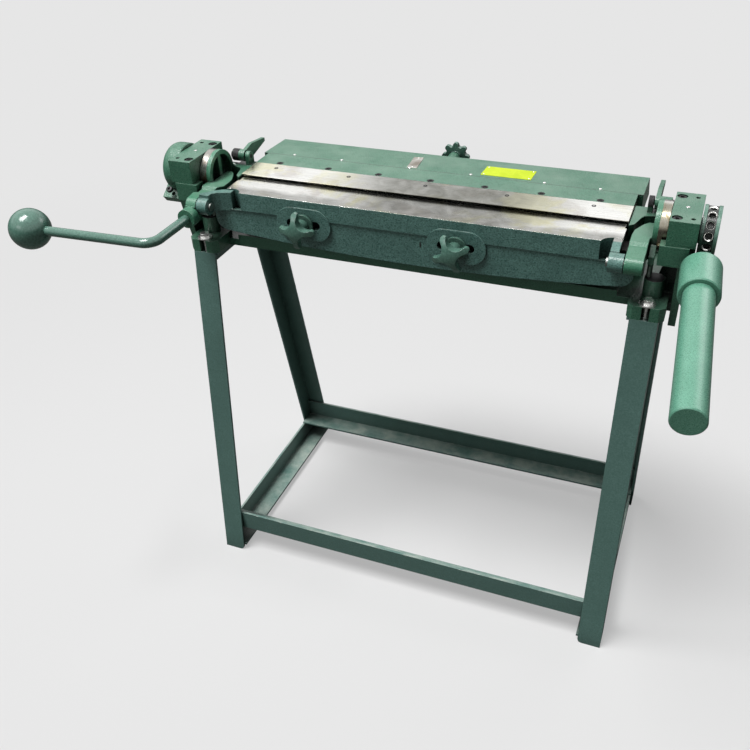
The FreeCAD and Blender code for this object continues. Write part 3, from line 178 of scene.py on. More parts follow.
def blend(tree, share, first, second):
    """Mix two colours by a share. Mix has its colours at 6 and 7, and their result at 2."""
    node = put(tree, "Mix", {"data_type": "RGBA"})
    for index, value in ((0, share), (6, first), (7, second)):
        join(tree, node.inputs[index], value)
    return node.outputs[2]


# %% [markdown]
# The light comes from high up on the operator's left, as one broad lamp far away, so that level
# faces are bright and upright ones fall away. Two weak lamps open up the front and the back,
# and a small one overhead puts sharp highlights on everything round.
# The world answers each kind of ray in its own way. The camera sees a pale sheet, polished
# steel sees a room that is bright above and dark below, and all other light from it is dim.


# %% World
def either(tree, share, first, second):
    """Mix two shaders by a share."""
    node = put(tree, "MixShader")
    fill(tree, node, share, first, second)
    return node.outputs[0]


world = bpy.data.worlds.new("pale room")
bpy.context.scene.world = world
world.use_nodes = True
sky = world.node_tree
sky.nodes.clear()
rays = put(sky, "LightPath")
toward = put(sky, "SeparateXYZ", Vector=put(sky, "TexCoord").outputs["Generated"])
dim = put(sky, "Background", Color=(1, 1, 1, 1), Strength=0.1)
room = put(sky, "Background", Color=(1, 1, 1, 1),
           Strength=ramp(sky, toward.outputs["Z"], 0.05, 0.4, start=0.05, end=1.15))
sheet = put(sky, "Background", Color=pale, Strength=1.0)
shone = either(sky, rays.outputs["Is Glossy Ray"], dim.outputs[0], room.outputs[0])
met = either(sky, rays.outputs["Is Camera Ray"], shone, sheet.outputs[0])
put(sky, "OutputWorld", Surface=met)
bpy.context.scene.view_settings.view_transform = "Standard"


# %% Lamps
def lamp(name, kind, place, target, power, **settings):
    """A lamp that points from its place to its target."""
    light = bpy.data.lights.new(name, kind)
    light.energy = power
    for key, value in settings.items():
        setattr(light, key, value)
    holder = bpy.data.objects.new(name, light)
    holder.location = place
    holder.rotation_euler = (Vector(target) - Vector(place)).to_track_quat("-Z", "Y").to_euler()
    bpy.context.scene.collection.objects.link(holder)


lamp("broad lamp", "SUN", (-0.8, -0.7, 3.6), (0, 0, 0.6), power=2.85, angle=math.radians(28))
lamp("front lamp", "AREA", (-1.6, -2.8, 2.4), (0, 0, 0.7), power=6, shape="RECTANGLE",
     size=1.4, size_y=0.8)
lamp("small lamp", "AREA", (-0.9, -0.2, 2.7), (0, 0, 0.8), power=16, shape="RECTANGLE",
     size=0.4, size_y=0.25)
lamp("back lamp", "AREA", (1.8, 2.6, 2.8), (0, 0, 0.7), power=14, shape="RECTANGLE",
     size=1.8, size_y=1.2)

# %% [markdown]
# The floor is a pale sheet that keeps the machine's shadow. What the camera sees of it is lit
# and glows a little, so that the shadow stays soft, and it fades to the world's pale tone well
# away from the machine, so that no horizon shows. All other rays meet a dark workshop floor,
# which leaves the machine's underside as dark as it is in a real workshop.

# %% Floor
bpy.ops.object.select_all(action="DESELECT")
bpy.ops.mesh.primitive_circle_add(vertices=96, radius=9, fill_type="NGON", location=(0, 0, 0))
floor = bpy.context.object
floor.name = "floor"
floor_finish = bpy.data.materials.new("pale floor")
floor_finish.use_nodes = True
tree = floor_finish.node_tree
tree.nodes.clear()
lit = put(tree, "BsdfDiffuse", Color=colour(160, 160, 160))
glow = put(tree, "Emission", Color=(1, 1, 1, 1), Strength=0.39)
both = put(tree, "AddShader")
fill(tree, both, lit.outputs[0], glow.outputs[0])
distant = put(tree, "Emission", Color=pale, Strength=1.0)
reach = put(tree, "VectorMath", {"operation": "LENGTH"},
            Vector=put(tree, "TexCoord").outputs["Object"])
far = ramp(tree, reach.outputs["Value"], 1.2, 3.0)
seen = either(tree, far, both.outputs[0], distant.outputs[0])
dark = put(tree, "BsdfDiffuse", Color=colour(96, 96, 94))
shown = either(tree, put(tree, "LightPath").outputs["Is Camera Ray"], dark.outputs[0], seen)
put(tree, "OutputMaterial", Surface=shown)
floor.data.materials.append(floor_finish)

# %% [markdown]
# Hammered enamel gets its look while it dries: the paint draws itself into small dimples with
# soft borders. A smooth Voronoi pattern has just that shape. Its lookup is pushed about by a
# little noise first, because real dimples are never evenly round.

# %% Group: hammered skin
tree, entry, leave = start_group(
    "hammered skin", (("Scale", "Float", 300.0), ("Stray", "Float", 0.0012)),
    (("Height", "Float"), ("Tone", "Float")))
place = put(tree, "TexCoord").outputs["Object"]
stray = put(tree, "TexNoise", Vector=place, Scale=90.0, Detail=1.0).outputs["Color"]
centred = put(tree, "VectorMath", {"operation": "SUBTRACT"})
fill(tree, centred, stray, (0.5, 0.5, 0.5))
shifted = put(tree, "VectorMath", {"operation": "MULTIPLY_ADD"})
fill(tree, shifted, centred.outputs[0], entry.outputs["Stray"], place)
cells = put(tree, "TexVoronoi", {"feature": "SMOOTH_F1"}, Vector=shifted.outputs[0],
            Scale=entry.outputs["Scale"], Smoothness=0.55)
grit = put(tree, "TexNoise", Vector=place, Detail=2.0, Roughness=0.6,
           Scale=number(tree, "MULTIPLY", entry.outputs["Scale"], 1.3))
feed(tree, leave, {"Height": ramp(tree, cells.outputs["Distance"], 0.05, 0.6),
                   "Tone": ramp(tree, grit.outputs["Fac"], 0.33, 0.67)})

# %% [markdown]
# Handled edges lose their paint. The Bevel node gives the normal that a rounded edge would
# have, and where it differs from the face's own normal there is an edge. The same rounded
# normal also goes out of the group, so that sharp corners catch a line of light. The edge mask
# goes out too, and the materials use it to paint a light line along every edge: a painted
# highlight.

# %% Group: worn and highlighted edges
tree, entry, leave = start_group(
    "worn and highlighted edges", (("Radius", "Float", 0.0015), ("Patchiness", "Float", 60.0),
                   ("Bare", "Float", 0.5)),
    (("Mask", "Float"), ("Edge", "Float"), ("Soft Normal", "Vector")))
rounded = put(tree, "Bevel", {"samples": 6}, Radius=entry.outputs["Radius"])
facing = put(tree, "VectorMath", {"operation": "DOT_PRODUCT"})
fill(tree, facing, rounded.outputs["Normal"], put(tree, "NewGeometry").outputs["Normal"])
edge = ramp(tree, facing.outputs["Value"], 0.985, 0.86)
spots = put(tree, "TexNoise", Vector=put(tree, "TexCoord").outputs["Object"],
            Scale=entry.outputs["Patchiness"], Detail=3.0, Roughness=0.65)
sum_of_both = number(tree, "ADD", spots.outputs["Fac"], entry.outputs["Bare"])
worn = number(tree, "SUBTRACT", sum_of_both, 1.0)
mask = number(tree, "MULTIPLY", edge, ramp(tree, worn, 0.0, 0.1))
feed(tree, leave, {"Mask": mask, "Edge": edge, "Soft Normal": rounded.outputs["Normal"]})

# %% [markdown]
# Dust settles where a face looks up, and thicker in some places than others. The face's own
# direction comes from Texture Coordinate's Normal, which turns with the piece, so that the dust
# stays where it is when the wing swings.

# %% Group: settled dust
tree, entry, leave = start_group(
    "settled dust", (("Scale", "Float", 14.0), ("Amount", "Float", 0.5)), (("Mask", "Float"),))
coordinates = put(tree, "TexCoord")
upward = put(tree, "SeparateXYZ", Vector=coordinates.outputs["Normal"])
level = ramp(tree, upward.outputs["Z"], 0.55, 0.98)
drifts = put(tree, "TexNoise", Vector=coordinates.outputs["Object"], Scale=entry.outputs["Scale"],
             Detail=5.0, Roughness=0.62)
thick = ramp(tree, drifts.outputs["Fac"], 0.38, 0.7)
feed(tree, leave, {"Mask": number(tree, "MULTIPLY", number(tree, "MULTIPLY", level, thick),
                                  entry.outputs["Amount"])})

# %% [markdown]
# Stains, oil and runs are all large soft patches. One group of layered noise serves for all of
# them: its two limits say how much of the surface the patches cover.

# %% Group: patches
tree, entry, leave = start_group(
    "patches", (("Vector", "Vector", None), ("Scale", "Float", 6.0), ("Low", "Float", 0.45),
                ("High", "Float", 0.6)), (("Mask", "Float"),))
cloud = put(tree, "TexNoise", Vector=entry.outputs["Vector"], Scale=entry.outputs["Scale"],
            Detail=5.0, Roughness=0.6, Distortion=0.6)
patch = ramp(tree, cloud.outputs["Fac"], entry.outputs["Low"], entry.outputs["High"])
feed(tree, leave, {"Mask": patch})

# %% [markdown]
# The bare faces were planed or turned and have had years of oil. Four things make them: a fine
# grain along the cut, brown tarnish in large patches, yellow oil that lies thin in some of
# them, and a dull, darker film. On the wing's top and the blade that film is painted
# reflection: a darker stretch across the middle that stands for a dimmer reflection of the
# room. The grain is noise whose lookup is squeezed along one direction before it gets here.

# %% Group: oiled steel
tree, entry, leave = start_group(
    "oiled steel", (("Grain Vector", "Vector", None), ("Vector", "Vector", None),
                    ("Oil", "Float", 0.5), ("Tarnish", "Float", 0.5), ("Film And Painted Reflection", "Float", 0.0),
                    ("Brown", "Color", colour(150, 130, 116)),
                    ("Yellow", "Color", colour(232, 226, 150)),
                    ("Dull", "Color", colour(90, 90, 80))),
    (("Color", "Color"), ("Roughness", "Float"), ("Height", "Float")))
grain = put(tree, "TexNoise", Vector=entry.outputs["Grain Vector"], Scale=1.0, Detail=3.0,
            Roughness=0.55)
speckle = put(tree, "TexNoise", Vector=entry.outputs["Vector"], Scale=420.0, Detail=2.0)
oil = number(tree, "MULTIPLY", effect(tree, "patches", Vector=entry.outputs["Vector"], Scale=9.0,
                                      Low=0.5, High=0.62).outputs["Mask"], entry.outputs["Oil"])
brown = number(tree, "MULTIPLY", effect(tree, "patches", Vector=entry.outputs["Vector"],
                                        Scale=14.0, Low=0.5, High=0.66).outputs["Mask"],
               entry.outputs["Tarnish"])
broken = ramp(tree, effect(tree, "patches", Vector=entry.outputs["Vector"], Scale=30.0, Low=0.3,
                           High=0.7).outputs["Mask"], 0.0, 1.0, start=0.7)
film_and_reflection = number(tree, "MULTIPLY", entry.outputs["Film And Painted Reflection"], broken)
bright = blend(tree, ramp(tree, grain.outputs["Fac"], 0.35, 0.65), colour(226, 226, 222),
               colour(250, 250, 246))
pitted = blend(tree, ramp(tree, speckle.outputs["Fac"], 0.64, 0.76), bright,
               colour(176, 170, 160))
tarnished = blend(tree, brown, pitted, entry.outputs["Brown"])
oiled = blend(tree, oil, tarnished, entry.outputs["Yellow"])
# The film darkens the steel towards the dull colour; on the wing's top and the blade it is painted
# reflection.
dulled = blend(tree, number(tree, "MULTIPLY", film_and_reflection, 0.9), oiled, entry.outputs["Dull"])
sheen = ramp(tree, number(tree, "ADD", brown, grain.outputs["Fac"]), 0.3, 1.4, start=0.2,
             end=0.42)
feed(tree, leave, {"Color": dulled, "Roughness": sheen, "Height": grain.outputs["Fac"]})

# %% [markdown]
# A maker mixes one paint and uses it on everything, so one function mixes all the greens here.
# It takes the light and dark tone of the enamel, the size of its dimples and how worn the
# piece is. A piece with bare zones passes a function that says where they are, and the same
# shader then turns from paint to steel there. The Ambient Occlusion node paints shade: it
# darkens the paint to near black wherever a surface sees little of the open room, so deep
# corners, crevices and undersides get painted shade. Every edge is also lightened a little
# towards the light tone, as a painted highlight.


# %% Paint
def object_place(tree):
    """The surface's place on its own piece, which the paint follows when the piece moves."""
    return put(tree, "TexCoord").outputs["Object"]


def stretched(tree, scale):
    """The object's coordinates, squeezed so that noise becomes grain."""
    return put(tree, "Mapping", Vector=object_place(tree), Scale=scale).outputs["Vector"]


def new_material(name):
    """A fresh material; returns it with its node tree and its shader."""
    material = bpy.data.materials.new(name)
    material.use_nodes = True
    shader = material.node_tree.nodes["Principled BSDF"]
    return material, material.node_tree, shader


primer = colour(40, 46, 42)
# The near-black colour of the painted shade in deep corners and undersides.
painted_shade_colour = colour(10, 18, 14)
worn_metal = colour(196, 198, 190)
planed_grain = (12, 900, 900)
turned_grain = (900, 60, 60)


def paint(name, light, dark, dimple=420.0, relief=0.0002, gloss=0.3, dust=0.3, bare=0.45,
          chip=primer, dusted=colour(150, 172, 156), edge_radius=0.0016, zone=None,
          grain=planed_grain, metal=None, marks=None):
    """Green enamel; zone(tree) masks bare metal, metal(tree) sets it, marks(tree) masks primer."""
    material, tree, shader = new_material(name)
    skin = effect(tree, "hammered skin", Scale=dimple)
    edge_wear_and_highlight = effect(tree, "worn and highlighted edges", Radius=edge_radius, Bare=bare)
    layer = effect(tree, "settled dust", Amount=dust)
    clouds = effect(tree, "patches", Vector=object_place(tree), Scale=22.0, Low=0.35, High=0.7)
    base = blend(tree, skin.outputs["Tone"], dark, light)
    base = blend(tree, number(tree, "MULTIPLY", clouds.outputs["Mask"], 0.5), base, dark)
    # Painted highlight: every edge is lightened towards the light tone.
    base = blend(tree, number(tree, "MULTIPLY", edge_wear_and_highlight.outputs["Edge"], 0.35), base, light)
    base = blend(tree, layer.outputs["Mask"], base, dusted)
    base = blend(tree, edge_wear_and_highlight.outputs["Mask"], base, chip)
    if marks:
        base = blend(tree, marks(tree), base, primer)
    # Painted shade: the paint darkens towards near black where the surface sees little of the open
    # room.
    corners = put(tree, "AmbientOcclusion", {"samples": 6}, Distance=0.1)
    painted_shade_share = ramp(tree, corners.outputs["AO"], 0.75, 0.25, end=0.9)
    base = blend(tree, painted_shade_share, base, painted_shade_colour)
    roughness = ramp(tree, number(tree, "ADD", layer.outputs["Mask"], skin.outputs["Tone"]),
                     0.0, 2.0, start=gloss - 0.06, end=gloss + 0.3)
    height = skin.outputs["Height"]
    metallic = number(tree, "MULTIPLY", edge_wear_and_highlight.outputs["Mask"], 0.4)
    if zone:
        mask = zone(tree)
        steel = effect(tree, "oiled steel", Grain_Vector=stretched(tree, grain),
                       Vector=object_place(tree), **metal(tree))
        base = blend(tree, mask, base, steel.outputs["Color"])
        metallic = number(tree, "MAXIMUM", metallic, mask)
        smooth = put(tree, "Mix", Factor=mask)
        join(tree, smooth.inputs[2], roughness)
        join(tree, smooth.inputs[3], steel.outputs["Roughness"])
        roughness = smooth.outputs[0]
        painted = number(tree, "SUBTRACT", 1.0, mask)
        height = number(tree, "ADD", number(tree, "MULTIPLY", height, painted),
                        number(tree, "MULTIPLY", steel.outputs["Height"], 0.05))
    bump = put(tree, "Bump", Strength=1.0, Distance=relief, Height=height,
               Normal=edge_wear_and_highlight.outputs["Soft Normal"])
    shader.inputs["Coat Weight"].default_value = 0.25
    shader.inputs["Coat Roughness"].default_value = 0.14
    feed(tree, shader, {"Base Color": base, "Roughness": roughness, "Metallic": metallic,
                        "Normal": bump.outputs["Normal"]})
    return material


# %% [markdown]
# Where paint ends on a machined face, the line is cut by a tool or brushed by hand, and it is
# seldom quite straight. Each zone below measures the surface's own place, and most of them
# shift their border with a little noise.


# %% Bare zones
def ragged(tree, value, border, width, wander, scale=60.0):
    """One where value is past the border, with a border that wanders."""
    noise = put(tree, "TexNoise", Vector=object_place(tree), Scale=scale, Detail=3.0)
    offset = number(tree, "MULTIPLY", number(tree, "SUBTRACT", noise.outputs["Fac"], 0.5), wander)
    return ramp(tree, number(tree, "ADD", value, offset), border - width, border + width)


def axes(tree, source="Object"):
    """The three coordinates of the surface as separate numbers."""
    node = put(tree, "SeparateXYZ", Vector=put(tree, "TexCoord").outputs[source])
    return node.outputs["X"], node.outputs["Y"], node.outputs["Z"]


def away(tree, value, middle):
    """How far a coordinate is from a middle, on either side."""
    return number(tree, "ABSOLUTE", number(tree, "SUBTRACT", value, middle))


wing_low, wing_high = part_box("wing")


def wing_top_zone(tree):
    """The planed top of the wing, up to its front edge."""
    facing = axes(tree, "Normal")[2]
    depth, height = axes(tree)[1:]
    level = ramp(tree, facing, 0.8, 0.9)
    top = ramp(tree, height, wing_high.z - 1.5 * MM, wing_high.z - 1 * MM)
    inside = ragged(tree, depth, wing_low.y + 6 * MM, width=0.6 * MM, wander=7 * MM)
    return number(tree, "MULTIPLY", number(tree, "MULTIPLY", level, top), inside)


# Painted reflection: where the darker stretch lies across the bare steel of the wing and the blade.
reflection_middle, reflection_core, reflection_end = middle_x + 48 * MM, 110 * MM, 270 * MM
front_band_depth = 48 * MM


def middle_painted_reflection(tree):
    """Painted reflection: a darker stretch a little right of the middle, fading out to both sides.
    """
    return ramp(tree, away(tree, axes(tree)[0], reflection_middle), reflection_end, reflection_core)


def wing_reflection_and_front_band(tree):
    """The middle's painted reflection, and a weaker darker band along the whole front of the wing's
    top.
    """
    front = ragged(tree, number(tree, "MULTIPLY", axes(tree)[1], -1.0),
                   front_band_depth - fold_axis.y, width=9 * MM, wander=20 * MM, scale=24.0)
    return number(tree, "MAXIMUM", middle_painted_reflection(tree), number(tree, "MULTIPLY", front, 0.75))


def distance_from_axis(tree):
    """How far the surface is from the fold axis."""
    centred = put(tree, "Mapping", Vector=object_place(tree),
                  Location=(0, -fold_axis.y, -fold_axis.z), Scale=(0, 1, 1))
    return put(tree, "VectorMath", {"operation": "LENGTH"},
               Vector=centred.outputs["Vector"]).outputs["Value"]


disc_radius = 45 * MM
disc_bare_out = 445 * MM


def disc_rim_zone(tree):
    """The turned rim of an end disc, measured from the fold axis."""
    reach = distance_from_axis(tree)
    rim = ramp(tree, away(tree, reach, disc_radius), 0.9 * MM, 0.4 * MM)
    outward = away(tree, axes(tree)[0], middle_x)
    bare = ragged(tree, outward, disc_bare_out, width=0.5 * MM, wander=3 * MM)
    return number(tree, "MULTIPLY", rim, bare)


def rust(tree):
    """The yellow-brown patch on the front of the right disc."""
    front = ramp(tree, axes(tree)[1], fold_axis.y + 8 * MM, fold_axis.y - 12 * MM)
    return ragged(tree, front, 0.5, width=0.3, wander=0.9, scale=40.0)


drum_low, drum_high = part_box("stop_drum")
drum_middle = (drum_low.x + drum_high.x) / 2
stop_hole_count = 14
stop_hole_rim = 6.7 * MM
drum_floor = disc_radius - 1.5 * MM
groove_half = 8.5 * MM


def drum_zone(tree):
    """A bright ring round every stop hole: the surface unrolled and folded onto one hole."""
    across, depth, height = axes(tree)
    turn = number(tree, "ARCTAN2", number(tree, "SUBTRACT", depth, fold_axis.y),
                  number(tree, "SUBTRACT", height, fold_axis.z))
    share = number(tree, "MULTIPLY", turn, stop_hole_count / math.tau)
    folded = number(tree, "SUBTRACT", number(tree, "FRACT", number(tree, "ADD", share, 100.5)), 0.5)
    along = number(tree, "MULTIPLY", folded, math.tau * drum_floor / stop_hole_count)
    flat = put(tree, "CombineXYZ", X=number(tree, "SUBTRACT", across, drum_middle), Y=along)
    radius = put(tree, "VectorMath", {"operation": "LENGTH"}, Vector=flat.outputs["Vector"])
    ring = ramp(tree, away(tree, radius.outputs["Value"], stop_hole_rim), 1.1 * MM, 0.6 * MM)
    outside = ramp(tree, distance_from_axis(tree), drum_floor - 3 * MM, drum_floor - 2 * MM)
    return number(tree, "MULTIPLY", ring, outside)


def drum_groove(tree):
    """The dark floor of the groove between the drum's two flanges."""
    low = ramp(tree, distance_from_axis(tree), drum_floor + 0.7 * MM, drum_floor + 0.3 * MM)
    inside = ramp(tree, away(tree, axes(tree)[0], drum_middle), groove_half + 0.3 * MM,
                  groove_half - 0.2 * MM)
    return number(tree, "MULTIPLY", low, inside)


cover_front, cover_half = 118, 400


def seam_line(tree):
    """The dark joint between the blade holder and the cover, seen from above."""
    across, depth, height = axes(tree)
    joint = spot(0, cover_front, 1.5)
    line = ramp(tree, away(tree, depth, joint.y), 0.9 * MM, 0.5 * MM)
    above = ramp(tree, height, joint.z, joint.z + 0.5 * MM)
    within = ramp(tree, away(tree, across, middle_x), (cover_half + 1) * MM, cover_half * MM)
    return number(tree, "MULTIPLY", number(tree, "MULTIPLY", line, above), within)


def wing_chip(tree):
    """One deep chip in the front of the wing."""
    middle = spot(24, -75, -64)
    size = Vector((2.2, 4, 8)) * MM
    shrunk = put(tree, "Mapping", Vector=object_place(tree),
                 Location=[-place / reach for place, reach in zip(middle, size)],
                 Scale=[1 / reach for reach in size])
    reach = put(tree, "VectorMath", {"operation": "LENGTH"}, Vector=shrunk.outputs["Vector"])
    return ragged(tree, number(tree, "MULTIPLY", reach.outputs["Value"], -1.0), -0.9, width=0.1,
                  wander=0.6, scale=300.0)


# %% [markdown]
# The greens differ only in numbers. Castings are deep green and dimpled, the stand is smoother
# and greyer, its lower rails carry the dust of the floor, and the balance bar is the brightest.
# What two greens have in common stands in a dictionary that both of them take.

# %% Greens
casting_green = paint("hammered casting green", colour(80, 134, 108), colour(52, 102, 80),
                      relief=0.0003, marks=seam_line)
# The wing's bare top carries the painted reflection across its middle and a darker band along its
# front.
wing_green = paint("hammered wing green", colour(114, 158, 148), colour(66, 102, 96),
                   dimple=330.0, relief=0.0003, zone=wing_top_zone, bare=0.5, marks=wing_chip,
                   metal=lambda tree: {"Oil": 0.5, "Tarnish": 0.35, "Film And Painted Reflection": wing_reflection_and_front_band(tree),
                                        "Dull": colour(72, 72, 64)})
disc_paint = {"light": colour(84, 146, 116), "dark": colour(56, 116, 90), "relief": 0.0003,
              "zone": disc_rim_zone, "grain": turned_grain}
left_disc_green = paint(
    "casting green with a bright rim", **disc_paint,
    metal=lambda tree: {"Oil": 0.2, "Tarnish": 1.6, "Film And Painted Reflection": 0.8, "Brown": colour(104, 84, 66),
                        "Dull": colour(84, 76, 64)})
right_disc_green = paint(
    "casting green with a rusty rim", **disc_paint,
    metal=lambda tree: {"Oil": 0.0, "Tarnish": 2.0, "Film And Painted Reflection": rust(tree), "Brown": colour(72, 52, 38),
                        "Dull": colour(90, 76, 16)})
stand_paint = {"light": colour(102, 138, 130), "dark": colour(84, 118, 110), "dimple": 260.0,
               "relief": 0.00006, "chip": worn_metal, "edge_radius": 0.001}
stand_green = paint("smooth stand green", **stand_paint, gloss=0.36, dust=0.2, bare=0.42)
rail_green = paint("dusty rail green", **stand_paint, gloss=0.4, dust=0.65, bare=0.5,
                   dusted=colour(196, 204, 194))
weight_green = paint("bright bar green", colour(120, 184, 158), colour(88, 146, 122),
                     dimple=520.0, relief=0.00012, gloss=0.28, dust=0.05, bare=0.4)
knob_green = paint("glossy knob green", colour(100, 140, 126), colour(78, 116, 102),
                   dimple=200.0, relief=0.00005, gloss=0.14, dust=0.1, bare=0.4)
drum_green = paint("drum green with bright rings", colour(112, 152, 136), colour(80, 118, 102),
                   zone=drum_zone, marks=drum_groove, grain=(60, 900, 900),
                   metal=lambda tree: {"Oil": 0.0, "Tarnish": 0.1})

# %% [markdown]
# Steel that was never painted needs no mask, only its grain. Its direction matters: along the
# blade where it was planed, round a disc where it was turned. Zinc on the bolts is brighter and
# cloudier, and black oxide on the screws nearly swallows the light.


# %% Bare metals
def steel(name, grain, metal):
    """Machined steel; metal(tree) gives the settings of the oiled steel group."""
    material, tree, shader = new_material(name)
    skin = effect(tree, "oiled steel", Grain_Vector=stretched(tree, grain),
                  Vector=object_place(tree), **metal(tree))
    edge_wear_and_highlight = effect(tree, "worn and highlighted edges", Radius=0.0008)
    # Painted highlight: a light line along every edge of the steel.
    colour_with_edge_highlight = blend(tree, number(tree, "MULTIPLY", edge_wear_and_highlight.outputs["Edge"], 0.3), skin.outputs["Color"],
                  colour(236, 235, 230))
    bump = put(tree, "Bump", Strength=1.0, Distance=0.00003, Height=skin.outputs["Height"])
    shader.inputs["Metallic"].default_value = 1.0
    feed(tree, shader, {"Base Color": colour_with_edge_highlight, "Roughness": skin.outputs["Roughness"],
                        "Normal": bump.outputs["Normal"]})
    return material


def plated(name, light, dark, rough, metallic):
    """A plain coat, cloudy between a light and a dark tone."""
    material, tree, shader = new_material(name)
    clouds = effect(tree, "patches", Vector=object_place(tree), Scale=40.0, Low=0.35, High=0.65)
    edge_wear_and_highlight = effect(tree, "worn and highlighted edges", Radius=0.0006)
    tone = blend(tree, clouds.outputs["Mask"], dark, light)
    # Painted highlight: a light line along every edge of the coat.
    tone = blend(tree, number(tree, "MULTIPLY", edge_wear_and_highlight.outputs["Edge"], 0.3), tone, light)
    bump = put(tree, "Bump", Strength=0.4, Distance=0.00008, Height=clouds.outputs["Mask"],
               Normal=edge_wear_and_highlight.outputs["Soft Normal"])
    shader.inputs["Metallic"].default_value = metallic
    sheen = ramp(tree, clouds.outputs["Mask"], 0, 1, start=rough + 0.12, end=rough)
    feed(tree, shader, {"Base Color": tone, "Roughness": sheen,
                        "Normal": bump.outputs["Normal"]})
    return material


# The blade's film is painted reflection, a darker stretch across its middle.
blade_steel = steel("planed blade steel", planed_grain,
                    lambda tree: {"Oil": 0.4, "Tarnish": 0.3, "Film And Painted Reflection": middle_painted_reflection(tree)})
jaw_steel = steel("planed jaw steel", planed_grain, lambda tree: {"Film And Painted Reflection": 0.6})
bright_zinc = plated("bright zinc", colour(240, 240, 238), colour(206, 206, 204),
                     rough=0.25, metallic=1.0)
dark_steel = plated("dark oiled steel", colour(46, 44, 42), colour(26, 25, 24),
                    rough=0.5, metallic=0.5)
black_oxide = plated("black oxide", colour(30, 30, 31), colour(14, 14, 15),
                     rough=0.45, metallic=0.3)
pin_steel = plated("scuffed pin steel", colour(186, 190, 186), colour(128, 130, 126),
                   rough=0.3, metallic=1.0)
yellow_enamel = plated("yellow enamel", colour(206, 226, 10), colour(188, 210, 6),
                       rough=0.4, metallic=0.0)
bare_aluminium = plated("stained aluminium", colour(206, 204, 198), colour(140, 134, 124),
                        rough=0.4, metallic=0.9)

finishes = {
    stand_green: ["front_left_leg", "front_right_leg", "back_left_leg", "back_right_leg",
                  "left_top_rail", "right_top_rail"],
    rail_green: ["left_bottom_rail", "right_bottom_rail", "front_bottom_rail",
                 "back_bottom_rail"],
    casting_green: ["left_end_frame", "right_end_frame", "left_bearing_cap",
                    "right_bearing_cap", "bed", "blade_holder", "back_cover", "left_collar",
                    "left_stop_lever", "right_stop_lever"],
    wing_green: ["wing"],
    left_disc_green: ["left_end_disc"],
    right_disc_green: ["right_end_disc"],
    weight_green: ["weight_bar", "weight_socket"],
    knob_green: ["left_star_knob", "right_star_knob", "left_stud", "right_stud",
                 "gauge_knob", "handle_rod", "handle_ball"],
    blade_steel: ["folding_blade"],
    jaw_steel: ["jaw", "gauge_bar"],
    drum_green: ["stop_drum"],
    bright_zinc: ["foot_bolts"],
    dark_steel: ["left_lever_pin", "right_lever_pin", "folding_bar", "wedge_bar",
                 "gauge_screw"],
    pin_steel: ["left_hinge_pin", "right_hinge_pin"],
}
for material, names in finishes.items():
    for name in names:
        nodes[name].data.materials.clear()
        nodes[name].data.materials.append(material)
print(f"{sum(map(len, finishes.values()))} pieces have a finish")

# %% [markdown]
# Small parts are modelled once at the origin, pointing up the Z axis, and then copied to their
# places. Every copy gets a mesh of its own, and the copies that ride together are joined into
# one piece, so that a row of screws is one thing to name and one thing to move.


# %% Piece helpers
def only(*objects):
    """Leave just these objects selected, the first one active."""
    bpy.ops.object.select_all(action="DESELECT")
    for item in objects:
        item.select_set(True)
    bpy.context.view_layer.objects.active = objects[0]


def add_primitive(operator, **shape):
    """Add a primitive with nothing else selected, and apply its place and scale."""
    bpy.ops.object.select_all(action="DESELECT")
    operator(**shape)
    item = bpy.context.object
    only(item)
    bpy.ops.object.transform_apply(location=True, rotation=True, scale=True)
    return item


def pick(item, test):
    """In edit mode, select the faces whose normal passes the test."""
    bpy.ops.mesh.select_mode(type="FACE")
    bpy.ops.mesh.select_all(action="DESELECT")
    cage = bmesh.from_edit_mesh(item.data)
    for face in cage.faces:
        face.select_set(test(face.normal))
    bmesh.update_edit_mesh(item.data)


def round_top(item, offset, segments):
    """Bevel the rim of the top face and shade the bevel smooth."""
    bpy.ops.object.mode_set(mode="EDIT")
    pick(item, lambda normal: normal.z > 0.9)
    bpy.ops.mesh.bevel(offset=offset, segments=segments, affect="EDGES")
    bpy.ops.object.mode_set(mode="OBJECT")
    bpy.ops.object.shade_smooth_by_angle(angle=math.radians(35))


def apply_modifier(item, kind, **settings):
    """Add a modifier, set it and apply it."""
    only(item)
    modifier = item.modifiers.new(kind.lower(), kind)
    for key, value in settings.items():
        setattr(modifier, key, value)
    bpy.ops.object.modifier_apply(modifier=modifier.name)


def aim(place, direction, turn=0.0):
    """The matrix that takes a part from the origin to a place, its Z axis along a direction."""
    swing = Vector(direction).to_track_quat("Z", "X").to_matrix().to_4x4()
    return Matrix.Translation(place) @ swing @ Matrix.Rotation(turn, 4, "Z")


def copies(model, name, matrices, body, finish):
    """Copies of a model at their places, joined into one piece that rides on a body."""
    made = []
    for matrix in matrices:
        copy = model.copy()
        copy.data = model.data.copy()
        copy.data.transform(matrix)
        bpy.context.scene.collection.objects.link(copy)
        made.append(copy)
    only(*made)
    if len(made) > 1:
        bpy.ops.object.join()
    settle(bpy.context.view_layer.objects.active, name, body, finish)


def settle(piece, name, body, finish):
    """Name a finished piece, give it its finish and let it ride."""
    piece.name = name
    piece.data.materials.clear()
    piece.data.materials.append(finish)
    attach(piece, body)
    print(f"{name}: {len(piece.data.polygons)} faces")


def drop(*models):
    """Remove models that have been copied or used up."""
    for model in models:
        bpy.data.objects.remove(model)


# %% [markdown]
# Every head, rivet and pin starts as a cylinder with a bevelled rim, so one function makes them
# all. A socket screw then loses a six-sided prism to a Boolean: cutting is simpler here than
# drawing a hexagon into a round face.


# %% Models: buttons and socket screws
def button(radius, height, rounding=0.12, segments=3, vertices=32):
    """A round head with its seat at the origin and a softened rim."""
    head = add_primitive(bpy.ops.mesh.primitive_cylinder_add, vertices=vertices, radius=radius,
                         depth=height, location=(0, 0, height / 2))
    round_top(head, min(radius, height) * rounding, segments)
    return head


